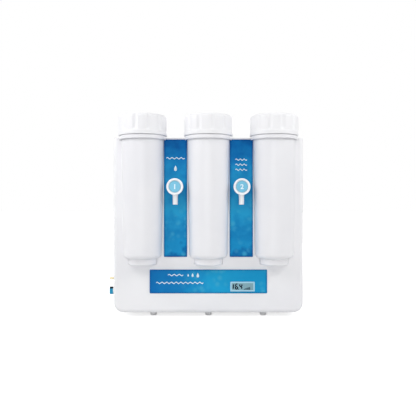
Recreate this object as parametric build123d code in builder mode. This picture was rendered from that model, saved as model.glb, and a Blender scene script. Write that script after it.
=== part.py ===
from build123d import *
import os
from math import cos, pi, sin, sqrt

os.makedirs("parts", exist_ok=True)

# Bench-top laboratory water purifier, in millimetres.
# +Z is up, the front faces -Y, and the origin is under the middle of the centre front foot.

# Walls and clearances shared by the whole machine
casing_wall = 3.0
seat_gap = 0.3
swing_gap = 0.4
running_gap = 0.05
cut_overrun = 2.0

# Feet
foot_height = 9.0
foot_top_radius = 8.0
foot_tip_radius = 6.5
foot_edge_round = 1.0
foot_spacing = 116.0
foot_inset = 25.0
foot_stem_radius = 3.0
foot_bulb_radius = 4.5
foot_bulb_height = 3.0

# Canister bowls
canister_pitch = 136.0
bowl_top_radius = 43.5
bowl_low_radius = 39.5
bowl_length = 246.0
bowl_wall = 3.2
bowl_floor = 4.0
boot_radius = 29.5
boot_height = 13.0
boot_edge_round = 3.0
flange_radius = 45.5
flange_height = 5.0
flange_sink = 2.5
neck_radius = 41.0
neck_height = 30.0
mouth_radius = 37.0
mouth_slope = 4.0
thread_ridge = 1.0
thread_ridge_shares = (0.42, 0.62, 0.82)
ledge_height = 101.0

# Water ports at the back of each bowl's boot
port_radius = 5.0
port_spacing = 14.0
port_rise = 6.5
port_reach = 10.0
socket_depth = 10.0
socket_gap = 0.1
tube_radius = 3.2
tube_bore_radius = 2.1
tube_bend = 14.0

# Casing shells
side_margin = 17.5
casing_corner = 20.0
casing_edge_round = 8.0
rear_edge_round = 6.0
parting_groove = 0.5
saddle_back_room = 13.0
bay_depth = 110.0
lip_wall = 1.6
lip_reach = 4.0
boss_radius = 5.0
boss_hole_radius = 1.6
screw_hole_radius = 2.2
screw_head_radius = 4.0
screw_seat_depth = 12.0
boss_side_inset = 16.0
boss_low_rise = 15.0
boss_top_drop = 15.0
vent_count = 9
vent_width = 3.5
vent_length = 56.0
vent_pitch = 9.0
vent_drop = 75.0

# Screw caps
cap_height = 41.5
cap_ring_radius = 50.5
cap_ring_height = 8.0
cap_ring_round = 3.0
cap_grip_radius = 49.8
cap_top_round = 6.0
cap_crown = 5.0
cap_crown_dish = 0.8
cap_foot_gap = 1.0
cap_thread_gap = 0.6
cap_groove_count = 12
cap_groove_radius = 7.5
cap_groove_depth = 2.0
cap_turns = {"left": -10.6, "middle": 8.0, "right": -16.0}
cap_boss_radius = 10.5
cap_boss_ledge = 1.4

# Sealing plugs that swivel in the caps
plug_spigot_length = 12.0
plug_flange_height = 3.5
plug_wall = 3.0
plug_post_radius = 6.0
plug_barb_height = 2.6
plug_barb_reach = 1.0
plug_slot_width = 2.0
seal_section_radius = 1.6
seal_drop = 6.0

# Cartridges
cartridge_radius = 31.5
cartridge_head_room = 14.0
cartridge_cap_radius = 33.0
cartridge_cap_height = 8.0
cartridge_stub_radius = 20.0
cartridge_core_radius = 14.0
membrane_radius = 28.0
membrane_seal_radius = 32.0
resin_radius = 32.0
resin_rib_height = 1.0
resin_rib_count = 5

# Blue panels on the front
label_thickness = 0.8
label_edge_gap = 0.2
label_length = 243.0
label_height = 49.0
label_top_gap = 0.7
label_corner = 1.5
low_label_rise = 41.0
label_hole_gap = 0.5

# Taps
tap_drop = 101.5
tap_shank_radius = 9.0
tap_shank_length = 22.0
tap_gasket_thickness = 1.0
tap_gasket_radius = 14.0
tap_barrel_radius = 15.0
tap_barrel_length = 19.0
tap_ring_radius = 17.0
tap_ring_depth = 6.5
tap_ring_skirt = 5.0
tap_ring_bevel = 2.2
tap_ring_round = 1.5
button_radius = 11.6
button_thickness = 4.5
button_recess = 1.2
button_round = 0.8
button_travel = 4.0
button_hub_radius = 4.6
button_hub_length = 2.6
button_room_depth = 8.0
stem_radius = 2.4
valve_room_radius = 6.0
valve_room_depth = 7.0
valve_wall = 2.6
valve_seat_radius = 3.6
poppet_radius = 5.0
poppet_thickness = 2.2
spout_radius = 5.25
spout_bore_radius = 3.2
spout_reach = 36.5
spout_root_radius = 5.7
spout_root_reach = 19.5
spout_forward = 8.6
spout_round = 0.8
spring_radius = 7.2
spring_wire_radius = 0.45
spring_turns = 3
tap_nut_flats = 11.5
tap_nut_height = 5.0

# Number display in the lower panel
display_x = 70.6
display_rise = 55.0
display_width = 50.6
display_height = 20.2
display_border = 3.1
display_proud = 1.2
display_edge_round = 0.6
display_collar_wall = 1.0
display_pane_sink = 0.8
display_board_width = 62.0
display_board_height = 28.0
display_board_depth = 6.0

# Control board
board_width = 150.0
board_height = 62.0
board_thickness = 1.6
board_x = -40.0
board_rise = 62.0
board_stand = 15.0
board_post_radius = 3.5
board_post_inset = 5.0
relay_length = 19.0
relay_width = 15.5
relay_height = 15.0
capacitor_radius = 5.0
capacitor_height = 16.0
connector_length = 22.0
connector_width = 6.0
connector_height = 8.0

# Side fittings
fitting_back = 15.0
feed_rise = 61.0
drain_rise = 34.0
shank_radius = 5.0
shank_reach = 12.0
shank_bore_radius = 2.0
feed_hex_flats = 8.0
feed_hex_length = 6.0
feed_nipple_radius = 3.2
feed_nipple_length = 15.0
bulkhead_nut_flats = 8.5
bulkhead_nut_height = 5.0
valve_flange_radius = 9.0
valve_flange_length = 3.0
valve_body_radius = 8.0
valve_body_length = 10.0
valve_branch_radius = 4.8
valve_branch_length = 22.0
cock_radius = 5.0
cock_way_radius = 2.0
cock_neck_radius = 2.5
handle_length = 17.0
handle_width = 6.5
handle_depth = 8.0
handle_round = 1.0

# Inlet solenoid valve
solenoid_length = 38.0
solenoid_width = 22.0
solenoid_round = 3.0
solenoid_outlet_radius = 6.0
solenoid_outlet_length = 11.0
coil_radius = 14.0
coil_height = 22.0
coil_edge_round = 2.0
armature_radius = 5.0
armature_height = 3.0

# Booster pump
pump_mount_radius = 7.0
pump_mount_waist = 5.0
pump_mount_height = 10.0
pump_plate_thickness = 2.0
pump_plate_width = 64.0
pump_plate_margin = 6.0
pump_mount_inset = 10.0
cradle_thickness = 3.0
cradle_lift = 4.0
cradle_rise = 16.0
motor_radius = 30.0
motor_length = 86.0
motor_rim_radius = 32.0
motor_rim_length = 5.0
motor_tail_radius = 10.0
motor_tail_length = 6.0
head_length = 54.0
head_size = 58.0
head_round = 10.0
head_plate_length = 8.0
head_plate_size = 62.0
head_port_margin = 14.0
head_port_spacing = 26.0
head_port_height = 12.0
switch_radius = 9.0
switch_length = 24.0
switch_hex_flats = 7.0
switch_hex_length = 5.0
switch_blade_width = 6.3
switch_blade_thickness = 0.8
switch_blade_length = 9.0

# Permeate tee and resistivity cell
tee_radius = 6.0
tee_arm = 16.0
cell_radius = 8.0
cell_length = 40.0
cell_rise = 26.0
cell_probe_radius = 6.0
cell_probe_length = 18.0
cell_cap_radius = 7.5
cell_cap_length = 6.0

# Tube runs inside the casing
feed_run = 26.0
feed_return = 30.0
pump_run = 44.0
permeate_run = 34.0
product_run = 54.0
product_rise = 16.0
drain_run = 104.0
drain_side_run = 44.0

# Power jack at the rear
jack_side_inset = 47.0
jack_rise = 52.0
jack_flange_radius = 6.5
jack_flange_length = 2.0
jack_barrel_radius = 5.0
jack_barrel_length = 12.0
jack_hole_radius = 2.8
jack_hole_depth = 9.5
jack_pin_radius = 1.05

# Places worked out from the sizes above
front_y = -foot_inset
casing_base_z = foot_height
floor_z = casing_base_z + casing_wall
ledge_z = casing_base_z + ledge_height
boot_top_z = ledge_z + boot_height
shoulder_round = bowl_low_radius - boot_radius
flange_z = boot_top_z + bowl_length
flange_top_z = flange_z + flange_height
neck_top_z = flange_top_z + neck_height
casing_top_z = flange_z + flange_sink
casing_height = casing_top_z - casing_base_z
casing_width = 2 * (canister_pitch + bowl_top_radius + side_margin)
side_x = casing_width / 2
split_y = front_y + bowl_top_radius + seat_gap + casing_wall + saddle_back_room
rear_y = split_y + bay_depth
port_z = ledge_z + port_rise
port_end = boot_radius + seat_gap + casing_wall + port_reach
port_end_y = front_y + port_end
socket_radius = tube_radius + socket_gap
cap_foot_z = flange_top_z + cap_foot_gap
cap_top_z = cap_foot_z + cap_height
crown_z = cap_top_z - cap_crown
plug_z = neck_top_z + seat_gap
plug_top_z = plug_z + plug_flange_height
tap_z = casing_top_z - tap_drop
fitting_y = split_y + fitting_back
feed_z = casing_base_z + feed_rise
drain_z = casing_base_z + drain_rise
low_label_z = casing_base_z + low_label_rise + label_height / 2
label_width = canister_pitch - 2 * (bowl_top_radius + seat_gap + label_edge_gap)
label_mid_z = flange_z - label_top_gap - label_length / 2
display_z = casing_base_z + display_rise
jack_x = side_x - jack_side_inset

canister_places = {"left": -canister_pitch, "middle": 0.0, "right": canister_pitch}
bowl_ports = {
    "left": (-port_spacing, port_spacing),
    "middle": (-port_spacing, 0.0, port_spacing),
    "right": (-port_spacing, port_spacing),
}
tap_places = {"left": -canister_pitch / 2, "right": canister_pitch / 2}
foot_rows = {"front": 0.0, "rear": rear_y - foot_inset}
foot_columns = (-foot_spacing, 0.0, foot_spacing)
boss_places = [
    (-side_x + boss_side_inset, casing_base_z + boss_low_rise),
    (side_x - boss_side_inset, casing_base_z + boss_low_rise),
    (-canister_pitch / 2, casing_top_z - boss_top_drop),
    (canister_pitch / 2, casing_top_z - boss_top_drop),
]
post_places = [
    (
        board_x + across * (board_width / 2 - board_post_inset),
        casing_base_z + board_rise + upward * (board_height / 2 - board_post_inset),
    )
    for across in (-1, 1)
    for upward in (-1, 1)
]


def plane_to(x, y, z, toward):
    """A plane at a point whose normal points toward a direction."""
    return Plane(origin=(x, y, z), z_dir=toward)


def front_plane(y):
    """A plane that faces the front at a depth, with X across and Z up."""
    return Plane(origin=(0, y, 0), x_dir=(1, 0, 0), z_dir=(0, -1, 0))


def canister_plane(x):
    """The upright plane through a canister's axis, with the distance from the axis across."""
    return Plane(origin=(x, front_y, 0), x_dir=(1, 0, 0), z_dir=(0, -1, 0))


def canister_axis(x):
    """The upright axis of a canister."""
    return Axis((x, front_y, 0), (0, 0, 1))


def rod(plane, start, end, radius, mode=Mode.ADD):
    """Add or cut a round bar along a plane's normal, between two distances from the plane."""
    with Locations(plane.offset(start)):
        Cylinder(radius, end - start, align=(Align.CENTER, Align.CENTER, Align.MIN), mode=mode)


def hex_bar(plane, start, end, flats, mode=Mode.ADD):
    """Add or cut a hexagonal bar, given half of its width across the flats."""
    with BuildSketch(plane.offset(start)) as section:
        RegularPolygon(flats, 6, major_radius=False)
    extrude(section.sketch, amount=end - start, mode=mode)


def casing_face(inset):
    """The casing's outline seen from the front, drawn smaller all round by an inset."""
    with BuildSketch() as face:
        with Locations((0, casing_base_z + casing_height / 2)):
            Rectangle(casing_width - 2 * inset, casing_height - 2 * inset)
        fillet(face.vertices().group_by(Axis.Y)[0], casing_corner - inset)
    return face.sketch


def bowl_outline(grow, drop, top_z):
    """Half of a bowl's outer section, grown by a distance and with its level faces lowered by a drop."""
    centre_z = boot_top_z + shoulder_round
    reach = shoulder_round + grow
    foot_r = boot_radius + grow
    turn_z = centre_z - sqrt(reach**2 - grow**2)
    side_r = bowl_low_radius + grow
    rim_r = flange_radius + grow
    middle = (boot_radius + reach * cos(pi / 4), centre_z - reach * sin(pi / 4))
    shelf_z = flange_z - drop
    with BuildLine() as outline:
        Polyline((0, top_z), (0, ledge_z - drop), (foot_r, ledge_z - drop), (foot_r, turn_z))
        ThreePointArc((foot_r, turn_z), middle, (side_r, centre_z))
        Polyline(
            (side_r, centre_z),
            (bowl_top_radius + grow, shelf_z),
            (rim_r, shelf_z),
            (rim_r, top_z),
            (0, top_z),
        )
    return outline.line


def bowl_hollow():
    """Half of the hollow inside a bowl, from its floor to its mouth."""
    centre_z = boot_top_z + shoulder_round
    reach = shoulder_round - bowl_wall
    foot_r = boot_radius - bowl_wall
    turn_z = centre_z - sqrt(reach**2 - bowl_wall**2)
    side_r = bowl_low_radius - bowl_wall
    top_r = bowl_top_radius - bowl_wall
    base_z = ledge_z + bowl_floor
    end_z = neck_top_z + cut_overrun
    middle = (boot_radius + reach * cos(pi / 4), centre_z - reach * sin(pi / 4))
    with BuildLine() as outline:
        Polyline((0, end_z), (0, base_z), (foot_r, base_z), (foot_r, turn_z))
        ThreePointArc((foot_r, turn_z), middle, (side_r, centre_z))
        Polyline(
            (side_r, centre_z),
            (top_r, flange_z - mouth_slope),
            (mouth_radius, flange_z),
            (mouth_radius, end_z),
            (0, end_z),
        )
    return outline.line


def tube_along(points, bend):
    """A hollow tube through a list of corner points, with every corner rounded alike."""
    with BuildPart() as tube:
        with BuildLine() as route:
            FilletPolyline(*points, radius=bend)
        with BuildSketch(route.line ^ 0):
            Circle(tube_radius)
            Circle(tube_bore_radius, mode=Mode.SUBTRACT)
        sweep(path=route.line)
    return tube.part


def keep(part, name):
    """Label a finished piece and write it under its name."""
    part.label = name
    export_step(part, f"parts/{name}.step")


# Front shell: a tray open to the rear, with a half-round saddle for each canister
with BuildPart() as front_shell:
    with BuildSketch(front_plane(front_y)):
        add(casing_face(0))
    extrude(amount=front_y - split_y)
    front_rim = front_shell.faces().sort_by(Axis.Y)[0].edges()
    fillet(front_rim.sort_by(Axis.Z)[:-1], casing_edge_round)
    chamfer(front_shell.faces().sort_by(Axis.Y)[-1].edges(), parting_groove)
    with BuildSketch(front_plane(front_y + casing_wall)):
        add(casing_face(casing_wall))
    extrude(amount=front_y - split_y, mode=Mode.SUBTRACT)
    for boss_x, boss_z in boss_places:
        boss_plane = plane_to(boss_x, front_y + casing_wall, boss_z, (0, 1, 0))
        boss_length = split_y - front_y - casing_wall
        rod(boss_plane, 0, boss_length, boss_radius)
        rod(boss_plane, 0, boss_length + cut_overrun, boss_hole_radius, Mode.SUBTRACT)
    for post_x, post_z in post_places:
        post_plane = plane_to(post_x, front_y + casing_wall, post_z, (0, 1, 0))
        rod(post_plane, 0, board_stand, board_post_radius)
    for centre_x in canister_places.values():
        with BuildSketch(canister_plane(centre_x)):
            make_face(bowl_outline(seat_gap + casing_wall, casing_wall, casing_top_z).edges())
        revolve(axis=canister_axis(centre_x), revolution_arc=180)
    for side, centre_x in canister_places.items():
        with BuildSketch(canister_plane(centre_x)):
            make_face(bowl_outline(seat_gap, 0, casing_top_z + cut_overrun).edges())
        revolve(axis=canister_axis(centre_x), mode=Mode.SUBTRACT)
        for port_x in bowl_ports[side]:
            port_plane = plane_to(centre_x + port_x, front_y, port_z, (0, 1, 0))
            port_cut = bowl_low_radius + seat_gap + casing_wall + cut_overrun
            rod(port_plane, 0, port_cut, port_radius + seat_gap, Mode.SUBTRACT)
    for centre_x in tap_places.values():
        hole_plane = plane_to(centre_x, front_y, tap_z, (0, 1, 0))
        rod(hole_plane, -cut_overrun, casing_wall + cut_overrun, tap_shank_radius + seat_gap, Mode.SUBTRACT)
    with BuildSketch(front_plane(front_y - cut_overrun)):
        with Locations((display_x, display_z)):
            Rectangle(
                display_width - 2 * (display_border - display_collar_wall - seat_gap),
                display_height - 2 * (display_border - display_collar_wall - seat_gap),
            )
    extrude(amount=-(casing_wall + 2 * cut_overrun), mode=Mode.SUBTRACT)
    for foot_x in foot_columns:
        foot_plane = plane_to(foot_x, foot_rows["front"], casing_base_z, (0, 0, 1))
        rod(foot_plane, -cut_overrun, casing_wall + cut_overrun, foot_stem_radius + seat_gap, Mode.SUBTRACT)
keep(front_shell.part, "front_shell")

# Rear shell: a deep tub with a lip that locates inside the front shell
with BuildPart() as rear_shell:
    with BuildSketch(front_plane(split_y)):
        add(casing_face(0))
    extrude(amount=split_y - rear_y)
    rear_rim = rear_shell.faces().sort_by(Axis.Y)[-1].edges()
    fillet(rear_rim, rear_edge_round)
    chamfer(rear_shell.faces().sort_by(Axis.Y)[0].edges(), parting_groove)
    with BuildSketch(front_plane(split_y)):
        add(casing_face(casing_wall))
    extrude(amount=split_y - rear_y + casing_wall, mode=Mode.SUBTRACT)
    with BuildSketch(front_plane(split_y + lip_reach)):
        add(casing_face(casing_wall))
        add(casing_face(casing_wall + seat_gap + lip_wall), mode=Mode.SUBTRACT)
    extrude(amount=lip_reach)
    with BuildSketch(front_plane(split_y)):
        add(casing_face(casing_wall + seat_gap))
        add(casing_face(casing_wall + seat_gap + lip_wall), mode=Mode.SUBTRACT)
    extrude(amount=lip_reach)
    for boss_x, boss_z in boss_places:
        boss_plane = plane_to(boss_x, split_y, boss_z, (0, 1, 0))
        rod(boss_plane, 0, bay_depth - casing_wall / 2, boss_radius + casing_wall / 2)
        rod(boss_plane, -cut_overrun, bay_depth + cut_overrun, screw_hole_radius, Mode.SUBTRACT)
        rod(boss_plane, screw_seat_depth, bay_depth + cut_overrun, screw_head_radius, Mode.SUBTRACT)
    with BuildSketch(front_plane(rear_y + cut_overrun)):
        for vent_side in (-1, 1):
            with Locations((vent_side * canister_pitch, casing_top_z - vent_drop)):
                with GridLocations(vent_pitch, vent_length, vent_count, 1):
                    SlotOverall(vent_length, vent_width, rotation=90)
    extrude(amount=casing_wall + 2 * cut_overrun, mode=Mode.SUBTRACT)
    for rise_z in (feed_z, drain_z):
        wall_plane = plane_to(-side_x, fitting_y, rise_z, (1, 0, 0))
        rod(wall_plane, -cut_overrun, casing_wall + cut_overrun, shank_radius + seat_gap, Mode.SUBTRACT)
    jack_plane = plane_to(jack_x, rear_y, casing_base_z + jack_rise, (0, -1, 0))
    rod(jack_plane, -cut_overrun, casing_wall + cut_overrun, jack_barrel_radius + seat_gap, Mode.SUBTRACT)
    for foot_x in foot_columns:
        foot_plane = plane_to(foot_x, foot_rows["rear"], casing_base_z, (0, 0, 1))
        rod(foot_plane, -cut_overrun, casing_wall + cut_overrun, foot_stem_radius + seat_gap, Mode.SUBTRACT)
keep(rear_shell.part, "rear_shell")

# Rubber feet: tapered pads with a stem pushed through the floor and a bulb that holds it
with BuildPart() as feet:
    for foot_y in foot_rows.values():
        for foot_x in foot_columns:
            with BuildSketch(Plane(origin=(foot_x, foot_y, 0), x_dir=(1, 0, 0), z_dir=(0, -1, 0))):
                with BuildLine():
                    Polyline(
                        (0, 0),
                        (foot_tip_radius - foot_edge_round, 0),
                        (foot_tip_radius, foot_edge_round),
                        (foot_top_radius, casing_base_z),
                        (foot_stem_radius, casing_base_z),
                        (foot_stem_radius, floor_z),
                        (foot_bulb_radius, floor_z),
                        (foot_stem_radius, floor_z + foot_bulb_height),
                        (0, floor_z + foot_bulb_height),
                        (0, 0),
                    )
                make_face()
            revolve(axis=Axis((foot_x, foot_y, 0), (0, 0, 1)))
keep(feet.part, "feet")

# Canisters: bowl, cartridge, sealing plug with its ring, and ribbed screw cap
for side, centre_x in canister_places.items():
    spin = canister_axis(centre_x)
    upright = plane_to(centre_x, front_y, 0, (0, 0, 1))

    with BuildPart() as bowl:
        with BuildSketch(canister_plane(centre_x)):
            make_face(bowl_outline(0, 0, flange_top_z).edges())
        revolve(axis=spin)
        fillet(bowl.edges().group_by(Axis.Z)[0], boot_edge_round)
        rod(upright, flange_top_z, neck_top_z, neck_radius - thread_ridge)
        for ridge_share in thread_ridge_shares:
            ridge_z = flange_top_z + ridge_share * neck_height
            rod(upright, ridge_z - thread_ridge, ridge_z + thread_ridge, neck_radius)
        for port_x in bowl_ports[side]:
            port_plane = plane_to(centre_x + port_x, front_y, port_z, (0, 1, 0))
            rod(port_plane, boot_radius / 2, port_end, port_radius)
        with BuildSketch(canister_plane(centre_x)):
            make_face(bowl_hollow().edges())
        revolve(axis=spin, mode=Mode.SUBTRACT)
        for port_x in bowl_ports[side]:
            port_plane = plane_to(centre_x + port_x, front_y, port_z, (0, 1, 0))
            rod(port_plane, boot_radius / 2, port_end + cut_overrun, tube_bore_radius, Mode.SUBTRACT)
            rod(port_plane, port_end - socket_depth, port_end + cut_overrun, socket_radius, Mode.SUBTRACT)
    keep(bowl.part, f"{side}_bowl")

    with BuildPart() as plug:
        spigot_r = mouth_radius - swing_gap
        rod(upright, neck_top_z - plug_spigot_length, plug_z, spigot_r)
        rod(upright, plug_z, plug_top_z, neck_radius - thread_ridge)
        seal_z = neck_top_z - seal_drop
        groove_r = mouth_radius - seat_gap - 2 * seal_section_radius - running_gap
        with Locations((centre_x, front_y, seal_z)):
            Cylinder(spigot_r + cut_overrun, 2 * (seal_section_radius + running_gap), mode=Mode.SUBTRACT)
            Cylinder(groove_r, 2 * (seal_section_radius + running_gap))
        rod(upright, neck_top_z - plug_spigot_length, plug_z, groove_r - plug_wall, Mode.SUBTRACT)
        barb_z = plug_top_z + seat_gap + cap_boss_ledge + seat_gap
        rod(upright, plug_top_z, barb_z, plug_post_radius)
        with Locations((centre_x, front_y, barb_z)):
            Cone(
                plug_post_radius + plug_barb_reach,
                plug_post_radius - plug_barb_reach,
                plug_barb_height,
                align=(Align.CENTER, Align.CENTER, Align.MIN),
            )
        with Locations((centre_x, front_y, plug_top_z)):
            Box(
                plug_slot_width,
                4 * plug_post_radius,
                2 * (barb_z - plug_top_z + plug_barb_height),
                mode=Mode.SUBTRACT,
                align=(Align.CENTER, Align.CENTER, Align.MIN),
            )
    keep(plug.part, f"{side}_plug")

    with BuildPart() as seal:
        with Locations((centre_x, front_y, neck_top_z - seal_drop)):
            Torus(mouth_radius - seat_gap - seal_section_radius, seal_section_radius)
    keep(seal.part, f"{side}_seal")

    with BuildPart() as cap:
        with BuildSketch(canister_plane(centre_x)):
            with BuildLine():
                ring_top_z = cap_foot_z + cap_ring_height
                Polyline(
                    (0, cap_foot_z),
                    (cap_ring_radius - cap_ring_round, cap_foot_z),
                )
                RadiusArc(
                    (cap_ring_radius - cap_ring_round, cap_foot_z),
                    (cap_ring_radius, cap_foot_z + cap_ring_round),
                    -cap_ring_round,
                )
                Polyline(
                    (cap_ring_radius, cap_foot_z + cap_ring_round),
                    (cap_ring_radius, ring_top_z),
                    (cap_grip_radius, ring_top_z),
                    (cap_grip_radius, cap_top_z - cap_top_round),
                )
                RadiusArc(
                    (cap_grip_radius, cap_top_z - cap_top_round),
                    (cap_grip_radius - cap_top_round, cap_top_z),
                    -cap_top_round,
                )
                Polyline(
                    (cap_grip_radius - cap_top_round, cap_top_z),
                    (cap_grip_radius - 2 * cap_top_round, cap_top_z - cap_crown_dish),
                    (0, cap_top_z - cap_crown_dish),
                    (0, cap_foot_z),
                )
            make_face()
        revolve(axis=spin)
        groove_plane = Plane(origin=(centre_x, front_y, ring_top_z), x_dir=(1, 0, 0), z_dir=(0, 0, 1))
        with BuildSketch(groove_plane):
            groove_place = cap_grip_radius + cap_groove_radius - cap_groove_depth
            with PolarLocations(groove_place, cap_groove_count, start_angle=cap_turns[side] - 90):
                Circle(cap_groove_radius)
        extrude(amount=cap_height, mode=Mode.SUBTRACT)
        rod(upright, cap_foot_z - cut_overrun, crown_z, neck_radius + cap_thread_gap, Mode.SUBTRACT)
        boss_foot_z = plug_top_z + seat_gap
        head_z = boss_foot_z + cap_boss_ledge
        head_room_r = plug_post_radius + plug_barb_reach + swing_gap
        rod(upright, boss_foot_z, crown_z, cap_boss_radius)
        rod(upright, boss_foot_z - cut_overrun, head_z, plug_post_radius + running_gap, Mode.SUBTRACT)
        rod(upright, head_z, head_z + plug_barb_height + 2 * swing_gap, head_room_r, Mode.SUBTRACT)
    keep(cap.part, f"{side}_cap")

cartridge_base_z = ledge_z + bowl_floor
cartridge_low_z = boot_top_z + shoulder_round / 2
cartridge_top_z = neck_top_z - plug_spigot_length - cartridge_head_room
cartridge_length = cartridge_top_z - cartridge_low_z


def cartridge_frame(upright, cap_radius):
    """The outlet stub and the two end caps that every cartridge has."""
    rod(upright, cartridge_base_z, cartridge_low_z, cartridge_stub_radius)
    rod(upright, cartridge_low_z, cartridge_low_z + cartridge_cap_height, cap_radius)
    rod(upright, cartridge_top_z - cartridge_cap_height, cartridge_top_z, cap_radius)


# Carbon block cartridge: a thick sleeve between two end caps, with a bore along it
with BuildPart() as carbon_cartridge:
    upright = plane_to(canister_places["left"], front_y, 0, (0, 0, 1))
    cartridge_frame(upright, cartridge_cap_radius)
    rod(upright, cartridge_low_z, cartridge_top_z, cartridge_radius)
    bore_top_z = cartridge_top_z - cartridge_cap_height
    rod(upright, cartridge_base_z - cut_overrun, bore_top_z, cartridge_core_radius, Mode.SUBTRACT)
keep(carbon_cartridge.part, "carbon_cartridge")

# Membrane element: a slimmer roll with a cupped seal near its foot
with BuildPart() as membrane_element:
    upright = plane_to(canister_places["middle"], front_y, 0, (0, 0, 1))
    cartridge_frame(upright, membrane_radius)
    rod(upright, cartridge_low_z, cartridge_top_z, membrane_radius)
    with Locations((canister_places["middle"], front_y, cartridge_low_z + cartridge_cap_height)):
        Cone(
            membrane_radius,
            membrane_seal_radius,
            cartridge_cap_height,
            align=(Align.CENTER, Align.CENTER, Align.MIN),
        )
    bore_top_z = cartridge_top_z - cartridge_cap_height
    rod(upright, cartridge_base_z - cut_overrun, bore_top_z, tube_radius, Mode.SUBTRACT)
keep(membrane_element.part, "membrane_element")

# Resin cartridge: a ribbed plastic tube between two end caps
with BuildPart() as resin_cartridge:
    upright = plane_to(canister_places["right"], front_y, 0, (0, 0, 1))
    cartridge_frame(upright, cartridge_cap_radius)
    rod(upright, cartridge_low_z, cartridge_top_z, resin_radius - resin_rib_height)
    for rib in range(resin_rib_count):
        rib_z = cartridge_low_z + (rib + 1) * cartridge_length / (resin_rib_count + 1)
        rod(upright, rib_z - resin_rib_height, rib_z + resin_rib_height, resin_radius)
    bore_top_z = cartridge_top_z - cartridge_cap_height
    rod(upright, cartridge_base_z - cut_overrun, bore_top_z, tube_radius, Mode.SUBTRACT)
keep(resin_cartridge.part, "resin_cartridge")

# Blue panels: two tall ones between the canisters and a wide one below
for side, centre_x in tap_places.items():
    with BuildPart() as label:
        with BuildSketch(front_plane(front_y)):
            with Locations((centre_x, label_mid_z)):
                RectangleRounded(label_width, label_length, label_corner)
            with Locations((centre_x, tap_z)):
                Circle(tap_shank_radius + label_hole_gap, mode=Mode.SUBTRACT)
        extrude(amount=label_thickness)
    keep(label.part, f"{side}_panel")

with BuildPart() as lower_panel:
    with BuildSketch(front_plane(front_y)):
        with Locations((0, low_label_z)):
            RectangleRounded(label_length, label_height, label_corner)
        with Locations((display_x, display_z)):
            Rectangle(
                display_width - 2 * (display_border - display_collar_wall - seat_gap),
                display_height - 2 * (display_border - display_collar_wall - seat_gap),
                mode=Mode.SUBTRACT,
            )
    extrude(amount=label_thickness)
keep(lower_panel.part, "lower_panel")

# Display frame with a collar through the front, its pane and the module behind
pane_width = display_width - 2 * display_border
pane_height = display_height - 2 * display_border
collar_end_y = front_y + casing_wall
with BuildPart() as display_frame:
    with BuildSketch(front_plane(front_y - label_thickness)):
        with Locations((display_x, display_z)):
            RectangleRounded(display_width, display_height, label_corner)
    extrude(amount=display_proud)
    fillet(display_frame.faces().sort_by(Axis.Y)[0].edges(), display_edge_round)
    with BuildSketch(front_plane(collar_end_y)):
        with Locations((display_x, display_z)):
            Rectangle(pane_width + 2 * display_collar_wall, pane_height + 2 * display_collar_wall)
    extrude(amount=casing_wall + label_thickness)
    with BuildSketch(front_plane(collar_end_y + cut_overrun)):
        with Locations((display_x, display_z)):
            Rectangle(pane_width, pane_height)
    extrude(amount=casing_wall + label_thickness + display_proud + 2 * cut_overrun, mode=Mode.SUBTRACT)
keep(display_frame.part, "display_frame")

pane_front_y = front_y - label_thickness - display_proud + display_pane_sink
with BuildPart() as display_pane:
    with BuildSketch(front_plane(pane_front_y)):
        with Locations((display_x, display_z)):
            Rectangle(pane_width - 2 * label_edge_gap, pane_height - 2 * label_edge_gap)
    extrude(amount=pane_front_y - collar_end_y)
keep(display_pane.part, "display_pane")

with BuildPart() as display_module:
    with BuildSketch(front_plane(collar_end_y)):
        with Locations((display_x, display_z)):
            RectangleRounded(display_board_width, display_board_height, label_corner)
    extrude(amount=-board_thickness)
    with BuildSketch(front_plane(collar_end_y + board_thickness)):
        with Locations((display_x, display_z)):
            RectangleRounded(pane_width, pane_height, label_corner)
    extrude(amount=-(display_board_depth - board_thickness))
keep(display_module.part, "display_module")

# Control board on posts behind the lower panel, and the larger parts on it
board_y = front_y + casing_wall + board_stand
board_z = casing_base_z + board_rise
with BuildPart() as control_board:
    with BuildSketch(front_plane(board_y)):
        with Locations((board_x, board_z)):
            RectangleRounded(board_width, board_height, label_corner)
    extrude(amount=-board_thickness)
keep(control_board.part, "control_board")

part_face_y = board_y + board_thickness
with BuildPart() as board_parts:
    with BuildSketch(front_plane(part_face_y)):
        with Locations((board_x, board_z + board_height / 4)):
            with GridLocations(board_width / 4, board_height, 3, 1):
                Rectangle(relay_length, relay_width)
    extrude(amount=-relay_height)
    with BuildSketch(front_plane(part_face_y)):
        with Locations((board_x, board_z)):
            with GridLocations(board_width / 3, board_height, 3, 1):
                Circle(capacitor_radius)
    extrude(amount=-capacitor_height)
    with BuildSketch(front_plane(part_face_y)):
        with Locations((board_x, board_z - board_height / 3)):
            with GridLocations(board_width / 4, board_height, 4, 1):
                Rectangle(connector_length, connector_width)
    extrude(amount=-connector_height)
keep(board_parts.part, "board_parts")

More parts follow.
